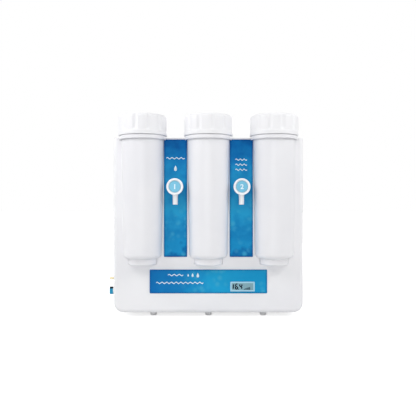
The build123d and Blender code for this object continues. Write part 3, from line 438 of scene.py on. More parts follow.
@dataclass(frozen=True)
class Finish(ABC):
    """A finish that makes its material once and then hands it out."""

    name: str

    def material(self) -> bpy.types.Material:
        """The finish's material, made on its first use."""
        return bpy.data.materials.get(self.name) or self._make()

    def _make(self) -> bpy.types.Material:
        """Make the material around one shader that the finish's layers feed.

        Returns:
            The new material.
        """
        material = bpy.data.materials.new(self.name)
        graph = Graph.emptied(material)
        place = graph.add("ShaderNodeTexCoord").outputs["Object"]
        shader = graph.add("ShaderNodeBsdfPrincipled", self.layers(graph, place))
        graph.add("ShaderNodeOutputMaterial", {"Surface": shader.outputs["BSDF"]})
        return material

    @abstractmethod
    def layers(self, graph: Graph, place: Socket) -> Feeds:
        """Build the finish up.

        Args:
            graph: The material's graph.
            place: The point on the piece, in the piece's own frame.

        Returns:
            Output sockets or plain values for the shader's inputs.
        """


@dataclass(frozen=True)
class TwoTone(Finish):
    """A finish whose colour drifts between two close tones."""

    colour: Colour
    shade: Colour
    roughness: float = 0.4
    drift_scale: float = 9.0

    def tone(self, graph: Graph, place: Socket) -> Socket:
        """The drifting colour at a place."""
        tones = {"Base": self.colour, "Shade": self.shade}
        return graph.effect(Effect.DRIFT, Position=place, Scale=self.drift_scale, **tones)["Color"]


@dataclass(frozen=True)
class MouldedPlastic(TwoTone):
    """Injection-moulded plastic with mould grain, soft edges, handling scuffs and a little dust."""

    coat: float = 0.0
    coat_roughness: float = 0.12
    grain_scale: float = 1500.0
    grain_depth: float = 0.00003
    edge_radius: float = 0.0006
    edge_colour: Colour = srgb(250, 250, 250)
    edge_share: float = 0.25
    scuff_scale: float = 420.0
    scuff_share: float = 0.12
    dust_scale: float = 60.0
    dust_share: float = 0.05
    dust_colour: Colour = srgb(196, 192, 184)
    refraction: float = 1.49
    specular: float = 0.5

    def layers(self, graph: Graph, place: Socket) -> Feeds:
        """Layer tone, edges and dust in the colour, scuffs in the gloss and grain in the normal.

        Args:
            graph: The material's graph.
            place: The point on the piece.

        Returns:
            What the shader's inputs get.
        """
        edge = graph.effect(Effect.EDGE, Radius=self.edge_radius)
        worn = graph.times(edge["Mask"], self.edge_share)
        tone = graph.mix(worn, self.tone(graph, place), self.edge_colour)
        dust = graph.effect(Effect.DUST, Position=place, Scale=self.dust_scale)["Mask"]
        scuff = graph.effect(Effect.SCUFF, Position=place, Scale=self.scuff_scale)["Mask"]
        grain = graph.effect(Effect.GRAIN, Position=place, Scale=self.grain_scale)["Height"]
        return {
            "Base Color": graph.mix(graph.times(dust, self.dust_share), tone, self.dust_colour),
            "Roughness": graph.times(scuff, self.scuff_share, self.roughness),
            "Normal": graph.bump(grain, self.grain_depth, Normal=edge["Normal"]),
            "IOR": self.refraction,
            "Specular IOR Level": self.specular,
            "Coat Weight": self.coat,
            "Coat Roughness": self.coat_roughness,
        }


@dataclass(frozen=True)
class DippedPlastic(MouldedPlastic):
    """Moulded plastic with its upper end dipped in a second colour."""

    dip: Colour = srgb(14, 30, 40)
    dip_line: Pair = (0.0465, 0.0478)

    def tone(self, graph: Graph, place: Socket) -> Socket:
        """The drifting tone, changing to the dip's colour across the dip's line."""
        dipped = graph.ease(graph.apart(place)["Z"], *self.dip_line)
        return graph.mix(dipped, super().tone(graph, place), self.dip)


@dataclass(frozen=True)
class LiquidCrystal(TwoTone):
    """The pale face of a liquid crystal display under a clear pane."""

    roughness: float = 0.25
    drift_scale: float = 40.0
    dot_scale: float = 1600.0
    dot_change: Pair = (0.35, 0.6)
    dot_share: float = 0.12
    scuff_scale: float = 500.0
    scuff_share: float = 0.1
    specular: float = 0.2
    coat: float = 0.15
    coat_roughness: float = 0.04

    def layers(self, graph: Graph, place: Socket) -> Feeds:
        """Lay a faint dot grid on the drifting ground.

        Args:
            graph: The material's graph.
            place: The point on the piece.

        Returns:
            What the shader's inputs get.
        """
        dots = graph.ease(graph.cells(place, self.dot_scale, 0.0), *self.dot_change)
        grid = graph.times(dots, self.dot_share)
        scuff = graph.effect(Effect.SCUFF, Position=place, Scale=self.scuff_scale)["Mask"]
        return {
            "Base Color": graph.mix(grid, self.tone(graph, place), self.shade),
            "Roughness": graph.times(scuff, self.scuff_share, self.roughness),
            "Specular IOR Level": self.specular,
            "Coat Weight": self.coat,
            "Coat Roughness": self.coat_roughness,
        }


@dataclass(frozen=True)
class TurnedMetal(TwoTone):
    """Metal with the fine rings or lines that its making leaves."""

    roughness: float = 0.28
    drift_scale: float = 120.0
    line_stretch: Triple = (1.0, 0.05, 0.05)
    line_scale: float = 2600.0
    line_detail: float = 2.0
    line_gloss: float = 0.16
    line_depth: float = 0.00002
    edge_radius: float = 0.0004

    def layers(self, graph: Graph, place: Socket) -> Feeds:
        """Put tool lines in the gloss and the normal, over softened edges.

        Args:
            graph: The material's graph.
            place: The point on the piece.

        Returns:
            What the shader's inputs get.
        """
        lines = graph.noise(graph.stretch(place, self.line_stretch), self.line_scale, self.line_detail)
        edge = graph.effect(Effect.EDGE, Radius=self.edge_radius)
        return {
            "Base Color": self.tone(graph, place),
            "Roughness": graph.times(lines, self.line_gloss, self.roughness - self.line_gloss / 2),
            "Normal": graph.bump(lines, self.line_depth, Normal=edge["Normal"]),
            "Metallic": 1.0,
        }


@dataclass(frozen=True)
class Blues:
    """A run of printed blues: its way, its colours by share, and the shares where glints fade in."""

    axis: Axis
    stops: tuple[tuple[float, Colour], ...]
    glint_fade: Pair


@dataclass(frozen=True)
class PrintedSheet(Finish):
    """An overlay printed with drifting blues, lighter clouds and faint round glints, with painted shade
    that darkens it towards its edges.
    """

    low: Vector
    high: Vector
    blues: Blues
    cloud_scale: float = 46.0
    cloud_detail: float = 3.0
    cloud_share: float = 0.38
    glint: Colour = srgb(72, 178, 212)
    glint_scale: float = 76.0
    glint_share: float = 0.62
    glint_spread: Pair = (0.6, 0.1)
    patch_scale_share: float = 0.7
    patch_detail: float = 1.0
    patch_change: Pair = (0.36, 0.58)
    # Painted shade that darkens the sheet towards its edges, where the canisters and the casing shade
    # it.
    painted_edge_shade: Colour = srgb(6, 66, 128)
    painted_shade_depth: float = 0.005
    painted_shade_share: float = 0.52
    peel_scale: float = 900.0
    peel_depth: float = 0.00001
    scuff_scale: float = 300.0
    scuff_share: float = 0.12
    roughness: float = 0.42
    specular: float = 0.07

    def layers(self, graph: Graph, place: Socket) -> Feeds:
        """Print a cloudy run of blues along the sheet and its glints, then darken its edges with painted
        shade.

        Args:
            graph: The material's graph.
            place: The point on the piece.

        Returns:
            What the shader's inputs get.
        """
        spans = {Axis.ACROSS: (self.low.x, self.high.x), Axis.UPWARD: (self.low.z, self.high.z)}
        apart = graph.apart(place)
        shares = {axis: graph.share(apart[axis.value], *span) for axis, span in spans.items()}
        main = shares[self.blues.axis]
        cloud = graph.noise(place, self.cloud_scale, self.cloud_detail)
        drift = graph.math("SUBTRACT", cloud, NOISE_MIDDLE)
        blue = graph.ramp(graph.times(drift, self.cloud_share, main), self.blues.stops)
        blue = graph.mix(self._glints(graph, place, main), blue, self.glint)
        # Painted shade that darkens the sheet towards each of its edges.
        edge_shades = [self._painted_edge_shade(graph, shares[axis], high - low) for axis, (low, high) in spans.items()]
        edge_shade = graph.times(graph.math("MAXIMUM", *edge_shades), self.painted_shade_share)
        peel = graph.effect(Effect.GRAIN, Position=place, Scale=self.peel_scale)["Height"]
        scuff = graph.effect(Effect.SCUFF, Position=place, Scale=self.scuff_scale)["Mask"]
        return {
            "Base Color": graph.mix(edge_shade, blue, self.painted_edge_shade),
            "Roughness": graph.times(scuff, self.scuff_share, self.roughness),
            "Normal": graph.bump(peel, self.peel_depth),
            "Specular IOR Level": self.specular,
        }

    def _glints(self, graph: Graph, place: Socket, main: Socket) -> Socket:
        """Faint round spots in patches.

        Args:
            graph: The material's graph.
            place: The point on the piece.
            main: The share along the run of blues.

        Returns:
            Their mask.
        """
        spots = graph.ease(graph.cells(place, self.glint_scale, 1.0), *self.glint_spread)
        patch_scale = self.cloud_scale * self.patch_scale_share
        patches = graph.patches(place, patch_scale, self.patch_detail, self.patch_change)
        fade = graph.ease(main, *self.blues.glint_fade)
        return graph.times(graph.times(graph.times(spots, patches), fade), self.glint_share)

    def _painted_edge_shade(self, graph: Graph, share: Socket, size: float) -> Socket:
        """A mask of painted shade that rises over its depth towards the two ends of a size."""
        spread = graph.math("ABSOLUTE", graph.times(share, 2.0, -1.0))
        return graph.ease(spread, 1.0 - 2.0 * self.painted_shade_depth / size, 1.0)


class Palette:
    """Every finish of the machine by what it covers, and the blues of its panels."""

    shell = MouldedPlastic("satin_shell_white", srgb(243, 243, 245), srgb(239, 239, 242), 0.42)
    bowl = MouldedPlastic("gloss_bowl_white", srgb(237, 237, 240), srgb(233, 233, 237), 0.34, coat=0.1,
                          grain_scale=700.0, grain_depth=0.00002)
    cap = MouldedPlastic("ribbed_cap_white", srgb(240, 240, 242), srgb(236, 236, 239), 0.36,
                         grain_scale=1200.0, scuff_share=0.2)
    tap = MouldedPlastic("gloss_tap_white", srgb(250, 251, 253), srgb(246, 247, 250), 0.22, coat=0.3)
    button = MouldedPlastic("button_light_blue", srgb(122, 198, 228), srgb(112, 190, 222), 0.34,
                            edge_colour=srgb(180, 226, 242), dust_share=0.0)
    display = MouldedPlastic("display_frame_pale_blue", srgb(174, 222, 240), srgb(166, 215, 234), 0.3,
                             coat=0.1, edge_colour=srgb(200, 230, 240))
    mark = MouldedPlastic("printed_white", srgb(234, 249, 255), srgb(228, 245, 253), 0.45,
                          dust_share=0.0, specular=0.2)
    segment = MouldedPlastic("segment_navy", srgb(6, 16, 40), srgb(10, 22, 48), 0.5, edge_share=0.0,
                             dust_share=0.0, specular=0.08)
    foot = MouldedPlastic("foot_pale_rubber", srgb(250, 250, 251), srgb(243, 243, 245), 0.7,
                          edge_share=0.1)
    seal = MouldedPlastic("seal_black_rubber", srgb(32, 32, 33), srgb(40, 40, 41), 0.65,
                          edge_colour=srgb(70, 70, 70))
    valve = MouldedPlastic("valve_white", srgb(228, 230, 232), srgb(220, 222, 225), 0.45)
    handle = DippedPlastic("handle_teal_blue", srgb(46, 168, 208), srgb(36, 148, 190), 0.34,
                           edge_colour=srgb(112, 198, 222), specular=0.2)
    black = MouldedPlastic("black_mouldings", srgb(30, 30, 32), srgb(38, 38, 40), 0.5,
                           edge_colour=srgb(76, 76, 78))
    nut = MouldedPlastic("nut_grey", srgb(190, 192, 194), srgb(180, 182, 185), 0.5)
    tube = MouldedPlastic("tube_milk_white", srgb(228, 233, 236), srgb(220, 226, 230), 0.38)
    board = MouldedPlastic("board_green", srgb(24, 96, 60), srgb(20, 84, 52), 0.35, grain_scale=2600.0,
                           edge_colour=srgb(150, 160, 110))
    motor = MouldedPlastic("motor_dark_paint", srgb(78, 80, 84), srgb(70, 72, 76),
                           edge_colour=srgb(120, 122, 124))
    fibre = MouldedPlastic("cartridge_fibre", srgb(226, 227, 224), srgb(216, 217, 212), 0.8,
                           grain_scale=2200.0, grain_depth=0.0002)
    lcd = LiquidCrystal("lcd_blue_grey", srgb(138, 180, 192), srgb(126, 168, 181))
    brass = TurnedMetal("turned_brass", srgb(210, 200, 170), srgb(194, 184, 152), 0.36)
    steel = TurnedMetal("drawn_steel", srgb(190, 192, 194), srgb(172, 174, 177), 0.3)
    tall_blues = Blues(Axis.UPWARD, (
        (0.0, srgb(14, 112, 180)),
        (0.08, srgb(28, 150, 207)),
        (0.22, srgb(24, 136, 197)),
        (0.36, srgb(40, 163, 214)),
        (0.46, srgb(42, 160, 212)),
        # The darker stop at 0.56, just below the taps, is print and a painted shadow of the taps
        # together.
        (0.56, srgb(26, 137, 197)),
        (0.68, srgb(36, 156, 212)),
        (0.82, srgb(21, 128, 195)),
        (0.93, srgb(10, 112, 183)),
        (1.0, srgb(6, 97, 169)),
    ), glint_fade=(0.62, 0.42))
    wide_blues = Blues(Axis.ACROSS, (
        (0.0, srgb(15, 114, 186)),
        (0.3, srgb(23, 135, 199)),
        (0.55, srgb(32, 163, 214)),
        (0.8, srgb(28, 156, 210)),
        (1.0, srgb(26, 155, 209)),
    ), glint_fade=(0.2, 0.5))


def dress(finishes: Mapping[str, Finish]) -> None:
    """Give pieces of the construction their finish.

    Args:
        finishes: What covers each piece, by the piece's name.
    """
    for node, finish in finishes.items():
        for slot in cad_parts[node].material_slots:
            slot.material = finish.material()
        log.info("%s is dressed in %s", node, finish.name)


def add_object(name: str, data: bpy.types.ID) -> bpy.types.Object:
    """Put an object into the scene.

    Args:
        name: The object's name.
        data: Its mesh, text, lens or light.

    Returns:
        The new object.
    """
    thing = bpy.data.objects.new(name, data)
    bpy.context.scene.collection.objects.link(thing)
    return thing


def add_piece(name: str, mesh: bpy.types.Mesh, finish: Finish, body: str) -> bpy.types.Object:
    """Put a modelled piece on a body.

    Args:
        name: The piece's name.
        mesh: Its shape, in the construction's frame.
        finish: What covers it.
        body: The body it moves with.

    Returns:
        The new object.
    """
    piece = add_object(name, mesh)
    mesh.materials.append(finish.material())
    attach(piece, body)
    log.info("%s rides on %s", name, body)
    return piece


def close_mesh(form: bmesh.types.BMesh, name: str, crease_degrees: float) -> bpy.types.Mesh:
    """Turn an edited form into a mesh with smooth faces and sharp creases.

    Args:
        form: The form, which is freed.
        name: The mesh's name.
        crease_degrees: Edges that turn by more stay sharp.

    Returns:
        The finished mesh.
    """
    bmesh.ops.remove_doubles(form, verts=form.verts, dist=MERGE_DISTANCE)
    bmesh.ops.recalc_face_normals(form, faces=form.faces)
    mesh = bpy.data.meshes.new(name)
    form.to_mesh(mesh)
    form.free()
    mesh.polygons.foreach_set("use_smooth", [True] * len(mesh.polygons))
    mesh.set_sharp_from_angle(angle=math.radians(crease_degrees))
    return mesh


def skin(form: bmesh.types.BMesh, rings: Sequence[Sequence[bmesh.types.BMVert]]) -> None:
    """Join each ring of points to the next one with faces.

    Args:
        form: The form that gets the faces.
        rings: Rings of as many points each; a pole repeats its one point.
    """
    for near, far in zip(rings, rings[1:]):
        for step, corner in enumerate(near):
            after = (step + 1) % len(near)
            corners = list(dict.fromkeys([corner, near[after], far[after], far[step]]))
            if len(corners) > 2:
                form.faces.new(corners)


def lathe(name: str, profile: Outline, steps: int, place: Matrix,
          reshape: Optional[Reshape] = None) -> bpy.types.Mesh:
    """Turn a profile about the Z axis.

    Args:
        name: The mesh's name.
        profile: Radii and heights along the profile; a radius of 0 is a pole.
        steps: Faces round the axis.
        place: Where the turned form goes.
        reshape: Changes a point's radius, from its radius, height and angle.

    Returns:
        The finished mesh.
    """
    form = bmesh.new()
    rings = []
    for radius, height in profile:
        if radius == 0:
            rings.append([form.verts.new(place @ Vector((0, 0, height)))] * steps)
            continue
        ring = []
        for step in range(steps):
            angle = FULL_TURN * step / steps
            reach = reshape(radius, height, angle) if reshape else radius
            point = Vector((reach * math.cos(angle), reach * math.sin(angle), height))
            ring.append(form.verts.new(place @ point))
        rings.append(ring)
    skin(form, rings)
    return close_mesh(form, name, TURNED_CREASE_DEGREES)


def plate(name: str, outlines: Sequence[Outline], front: float, depth: float) -> bpy.types.Mesh:
    """Flat closed shapes that face the front.

    Args:
        name: The mesh's name.
        outlines: Corners of each shape as X and Z.
        front: Y of the front faces.
        depth: How far each shape reaches back from there.

    Returns:
        The finished mesh.
    """
    form = bmesh.new()
    for outline in outlines:
        near = [form.verts.new((x, front, z)) for x, z in outline]
        far = [form.verts.new((x, front + depth, z)) for x, z in outline]
        form.faces.new(near)
        form.faces.new(far[::-1])
        skin(form, [near, far])
    return close_mesh(form, name, FLAT_CREASE_DEGREES)


def arc_points(centre: Pair, radius: float, start: float, end: float, steps: int) -> list[Pair]:
    """Points along an arc in a profile, with its ends, at angles in degrees."""
    turns = [math.radians(start + (end - start) * step / steps) for step in range(steps + 1)]
    return [(centre[0] + radius * math.cos(turn), centre[1] + radius * math.sin(turn)) for turn in turns]


def rectangle(left: float, low: float, width: float, height: float) -> Outline:
    """The corners of an upright rectangle."""
    right, high = left + width, low + height
    return [(left, low), (right, low), (right, high), (left, high)]


def upright_place(low: Vector, high: Vector) -> Matrix:
    """A shift from the frame's Z axis to the upright middle line of a box."""
    centre = (low + high) / 2
    return Matrix.Translation((centre.x, centre.y, 0.0))


def tilted(place: Sequence[float], angle: float) -> Matrix:
    """A turn about the X axis, then a shift to a place."""
    return Matrix.Translation(place) @ Matrix.Rotation(angle, MATRIX_SIZE, "X")


class SubAssembly(ABC):
    """A group of pieces that are made and dressed together."""

    @abstractmethod
    def build(self) -> None:
        """Make the group's pieces and dress them."""


@dataclass(frozen=True)
class Lamp:
    """A square soft light, by the place that it stands in and the point that it faces."""

    name: str
    place: Triple
    aim: Triple
    size: float
    watts: float

    def build(self) -> None:
        """Hang the light and turn it to its aim."""
        light = bpy.data.lights.new(self.name, "AREA")
        light.shape = "SQUARE"
        light.size = self.size
        light.energy = self.watts
        lamp = add_object(self.name, light)
        lamp.location = self.place
        lamp.rotation_euler = (Vector(self.aim) - Vector(self.place)).to_track_quat("-Z", "Y").to_euler()


@dataclass
class Studio(SubAssembly):
    """Pale floor, soft lights and the camera at the photograph's viewpoint."""

    camera_place: Triple = (-0.0008, -1.085, 0.243)
    focal_pixels: float = 512.0
    image_pixels: float = 416.0
    horizon_pixel: float = 200.0
    sensor: float = 36.0
    clip_start: float = 0.01
    clip_end: float = 60.0
    ambient: float = 0.45
    floor_half: float = 9.0
    floor_colour: Colour = (0.8, 0.8, 0.8, 1.0)
    floor_glow: float = 0.68
    glow_reach: Pair = (0.28, 0.8)
    lamps: tuple[Lamp, ...] = (
        Lamp("left_softbox", (-0.75, -0.4, 0.8), (0.0, -0.03, 0.3), size=0.5, watts=4.3),
        Lamp("right_softbox", (0.75, -0.42, 0.8), (0.0, -0.03, 0.3), size=0.5, watts=3.6),
        Lamp("front_softbox", (-0.1, -0.9, 1.0), (0.0, -0.03, 0.28), size=0.6, watts=1.1),
        Lamp("low_softbox", (-0.15, -1.3, 0.26), (0.0, -0.03, 0.15), size=0.5, watts=1.3),
        Lamp("rear_softbox", (0.3, 1.7, 0.6), (0.0, 0.1, 0.2), size=1.2, watts=7.0),
    )

    def build(self) -> None:
        """Make the camera, the world, the floor and the lights."""
        self._camera()
        self._world()
        self._floor()
        for lamp in self.lamps:
            lamp.build()
        bpy.context.scene.view_settings.view_transform = "Standard"

    def _camera(self) -> None:
        """Set up a level camera, so that the uprights stay parallel."""
        lens = bpy.data.cameras.new("photo_camera")
        lens.sensor_width = self.sensor
        lens.lens = self.focal_pixels / self.image_pixels * self.sensor
        lens.shift_y = (self.horizon_pixel - self.image_pixels / 2) / self.image_pixels
        lens.clip_start = self.clip_start
        lens.clip_end = self.clip_end
        camera = add_object("photo_camera", lens)
        camera.location = self.camera_place
        camera.rotation_euler = (RIGHT_ANGLE, 0.0, 0.0)
        bpy.context.scene.camera = camera

    @staticmethod
    def _seen(graph: Graph) -> Socket:
        """Tell rays that show the background: straight, mirrored or through glass.

        Args:
            graph: The graph that asks.

        Returns:
            1 for such rays, 0 for others.
        """
        path = graph.add("ShaderNodeLightPath").outputs
        mirrored = graph.math("MAXIMUM", path["Is Glossy Ray"], path["Is Transmission Ray"])
        return graph.math("MAXIMUM", path["Is Camera Ray"], mirrored)

    def _world(self) -> None:
        """Make a white surround that lights the object at a plain level."""
        world = bpy.data.worlds.new("white_surround")
        graph = Graph.emptied(world)
        strength = graph.times(self._seen(graph), 1.0 - self.ambient, self.ambient)
        surround = graph.add("ShaderNodeBackground", {"Color": WHITE, "Strength": strength})
        graph.add("ShaderNodeOutputWorld", {"Surface": surround.outputs[0]})
        bpy.context.scene.world = world

    def _floor(self) -> None:
        """Lay a white floor that keeps the object's shadow and fades into the surround."""
        half = self.floor_half
        form = bmesh.new()
        corners = rectangle(-half, -half, 2 * half, 2 * half)
        form.faces.new([form.verts.new((x, y, 0.0)) for x, y in corners])
        mesh = close_mesh(form, "floor", FLAT_CREASE_DEGREES)
        floor = add_object("floor", mesh)
        material = bpy.data.materials.new("pale_floor")
        graph = Graph.emptied(material)
        point = graph.add("ShaderNodeNewGeometry").outputs["Position"]
        reach = graph.add("ShaderNodeVectorMath", {0: point}, operation="LENGTH").outputs["Value"]
        glow = graph.times(graph.ease(reach, *self.glow_reach), 1.0 - self.floor_glow, self.floor_glow)
        strength = graph.times(glow, self._seen(graph))
        paint = graph.add("ShaderNodeBsdfDiffuse", {"Color": self.floor_colour})
        light = graph.add("ShaderNodeEmission", {"Color": WHITE, "Strength": strength})
        both = graph.add("ShaderNodeAddShader", {0: paint.outputs[0], 1: light.outputs[0]})
        graph.add("ShaderNodeOutputMaterial", {"Surface": both.outputs[0]})
        mesh.materials.append(material)


@dataclass
class Casing(SubAssembly):
    """The two shells, their feet, the screws at the back and the power jack."""

    screw_head_radius: float = 0.0036
    screw_head_height: float = 0.0024
    screw_head_shares: tuple[Pair, ...] = ((1.0, 0.45), (0.93, 0.72), (0.74, 0.92), (0.58, 1.0))
    socket_sides: int = 6
    socket_radius: float = 0.0016
    socket_depth: float = 0.0015
    socket_cone_share: float = 0.3
    screw_steps: int = 36
    screw_seat_y: float = 0.0468
    low_screw_x: float = 0.181
    low_screw_z: float = 0.024
    top_screw_x: float = 0.068
    top_screw_z: float = 0.3565

    def build(self) -> None:
        """Dress the shells and their fittings and add the screws."""
        dress({"front_shell": Palette.shell, "rear_shell": Palette.shell,
               "feet": Palette.foot, "power_jack": Palette.black})
        for level, x, z in (("low", self.low_screw_x, self.low_screw_z),
                            ("top", self.top_screw_x, self.top_screw_z)):
            for side, place in ((Side.LEFT, -x), (Side.RIGHT, x)):
                name = f"{level}_{side.value}_screw"
                add_piece(name, self._screw(name, place, z), Palette.steel, CASING_BODY)

    def _screw(self, name: str, x: float, z: float) -> bpy.types.Mesh:
        """A round-headed screw with a six-sided socket, facing the back.

        Args:
            name: The mesh's name.
            x: Its place across the back.
            z: Its height.

        Returns:
            The finished mesh.
        """
        head, top, socket = self.screw_head_radius, self.screw_head_height, self.socket_radius
        floor = top - self.socket_depth
        profile = [(0, 0), (head, 0)]
        profile += [(head * across, top * up) for across, up in self.screw_head_shares]
        profile += [(socket, top), (socket, floor), (0, floor - socket * self.socket_cone_share)]
        sector = FULL_TURN / self.socket_sides

        def six_sided(radius: float, height: float, angle: float) -> float:
            """Draw the socket's walls in to a hexagon."""
            drawn = radius * math.cos(sector / 2) / math.cos(angle % sector - sector / 2)
            return drawn if radius <= socket and height >= floor else radius

        facing_back = tilted((x, self.screw_seat_y, z), -RIGHT_ANGLE)
        return lathe(name, profile, self.screw_steps, facing_back, six_sided)


@dataclass
class Canister(SubAssembly):
    """One filter canister: bowl, plug with its seal, cartridge and ribbed screw cap."""

    side: Side
    cartridge: str
    flute_turn_degrees: float
    flute_count: int = 12
    flute_radius: float = 0.0075
    flute_depth: float = 0.002
    flute_soften: float = 0.0009
    steps_per_flute: int = 28
    ring_radius: float = 0.0505
    ring_height: float = 0.008
    ring_round: float = 0.0014
    ring_lip_degrees: float = 70.0
    ring_lip_steps: int = 4
    grip_radius: float = 0.0498
    grip_foot_share: float = 0.3
    grip_rows: int = 6
    top_round: float = 0.006
    crown: float = 0.005
    crown_dish: float = 0.0008
    dish_slope_shares: Pair = (1.4, 0.35)
    neck_room: float = 0.0416
    foot_drop: float = 0.0005
    boss_radius: float = 0.0105
    boss_drop: float = 0.0034
    boss_ledge: float = 0.0014
    boss_hole: float = 0.00605
    barb_room: float = 0.0074
    barb_rise: float = 0.0014
    round_steps: int = 8
    collar_radius: float = 0.0484
    collar_room: float = 0.04565
    collar_top: float = 0.3739
    collar_front_foot: float = 0.3664
    collar_rear_foot: float = 0.3719
    collar_rear_y: float = -0.027
    collar_round: float = 0.0007
    collar_steps: int = 240

    def build(self) -> None:
        """Dress the construction's pieces, put the modelled cap on and add the collar."""
        name = self.side.value
        dress({f"{name}_bowl": Palette.bowl, f"{name}_plug": Palette.cap,
               f"{name}_seal": Palette.seal, self.cartridge: Palette.fibre})
        cap = add_piece(f"{name}_ribbed_cap", self._cap(), Palette.cap, f"{name}_cap")
        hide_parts(f"{name}_cap")
        add_piece(f"{name}_bowl_collar", self._collar(), Palette.bowl, CASING_BODY)

    def _collar(self) -> bpy.types.Mesh:
        """The collar round the bowl's flange, deeper in front of the casing than above it.

        Returns:
            The finished mesh.
        """
        low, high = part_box(f"{self.side.value}_bowl")
        turn = self.collar_round
        edge = self.collar_radius - turn
        profile = [(self.collar_room, self.collar_top), (self.collar_room, self.collar_front_foot)]
        foot_centre, top_centre = (edge, self.collar_front_foot + turn), (edge, self.collar_top - turn)
        profile += arc_points(foot_centre, turn, ARC_FOOT, ARC_SIDE, self.round_steps)
        profile += arc_points(top_centre, turn, ARC_SIDE, ARC_TOP, self.round_steps)
        mesh = lathe(f"{self.side.value}_bowl_collar", profile + profile[:1], self.collar_steps,
                     upright_place(low, high))
        for vertex in mesh.vertices:
            if vertex.co.y > self.collar_rear_y:
                vertex.co.z = max(vertex.co.z, self.collar_rear_foot)
        return mesh

    def _cap(self) -> bpy.types.Mesh:
        """The screw cap, with soft-edged flutes round its grip.

        Returns:
            The finished mesh.
        """
        low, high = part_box(f"{self.side.value}_cap")
        ring_top = low.z + self.ring_height

        def fluted(radius: float, height: float, angle: float) -> float:
            """A point's radius once the flutes are cut."""
            return self._fluted(radius, height - ring_top, angle)

        return lathe(f"{self.side.value}_ribbed_cap", self._profile(low.z - self.foot_drop, high.z),
                     self.flute_count * self.steps_per_flute, upright_place(low, high), fluted)

    def _profile(self, foot: float, top: float) -> list[Pair]:
        """The cap's section, from the middle of its inside round to the middle of its top.

        Args:
            foot: Height of its lower edge.
            top: Height of its highest point.

        Returns:
            Radii and heights along the section.
        """
        crown = top - self.crown
        boss_foot = crown - self.boss_drop
        ledge = boss_foot + self.boss_ledge
        barb_top = crown + self.barb_rise
        lip = self.flute_soften
        inside = [
            (0, barb_top), (self.barb_room, barb_top), (self.barb_room, ledge), (self.boss_hole, ledge),
            (self.boss_hole, boss_foot), (self.boss_radius, boss_foot), (self.boss_radius, crown),
            (self.neck_room, crown), (self.neck_room, foot + lip), (self.neck_room + lip, foot),
        ]
        ring_top = foot + self.foot_drop + self.ring_height
        ring_centre = (self.ring_radius - self.ring_round, foot + self.ring_round)
        ring = arc_points(ring_centre, self.ring_round, ARC_FOOT, ARC_SIDE, self.round_steps)
        lip_centre = (self.ring_radius - lip, ring_top - lip)
        ring += arc_points(lip_centre, lip, ARC_SIDE, self.ring_lip_degrees, self.ring_lip_steps)
        grip_low, grip_high = ring_top + lip, top - self.top_round
        rise = grip_high - grip_low
        heights = [ring_top + lip * self.grip_foot_share]
        heights += [grip_low + rise * row / self.grip_rows for row in range(self.grip_rows)]
        grip = [(self.grip_radius, height) for height in heights]
        top_centre = (self.grip_radius - self.top_round, grip_high)
        shoulder = arc_points(top_centre, self.top_round, ARC_SIDE, ARC_TOP, 2 * self.round_steps)
        slope_in, slope_down = self.dish_slope_shares
        dish_radius, dish = self.grip_radius - 2 * self.top_round, top - self.crown_dish
        inner = [(self.grip_radius - slope_in * self.top_round, top - self.crown_dish * slope_down),
                 (dish_radius, dish), (dish_radius / 2, dish), (0, dish)]
        return inside + ring + grip + shoulder + inner

    def _fluted(self, radius: float, rise: float, angle: float) -> float:
        """Draw the grip in at each flute, with a soft run over its edges.

        Args:
            radius: The point's radius before the cut.
            rise: Its height over the smooth ring.
            angle: Its angle round the cap.

        Returns:
            The point's radius after the cut.
        """
        if rise < 0 or radius < self.grip_radius - 2 * self.top_round:
            return radius
        pitch = FULL_TURN / self.flute_count
        first = math.radians(self.flute_turn_degrees) - RIGHT_ANGLE
        offset = (angle - first + pitch / 2) % pitch - pitch / 2
        centre = self.grip_radius + self.flute_radius - self.flute_depth
        reach = self.flute_radius**2 - (centre * math.sin(offset)) ** 2
        if reach <= 0:
            return radius
        cut = centre * math.cos(offset) - math.sqrt(reach)
        soft = self.flute_soften
        share = clamp((soft + cut - radius) / (2 * soft))
        blended = cut * (1 - share) + radius * share - soft * share * (1 - share)
        return radius + (blended - radius) * clamp(rise / (2 * soft))


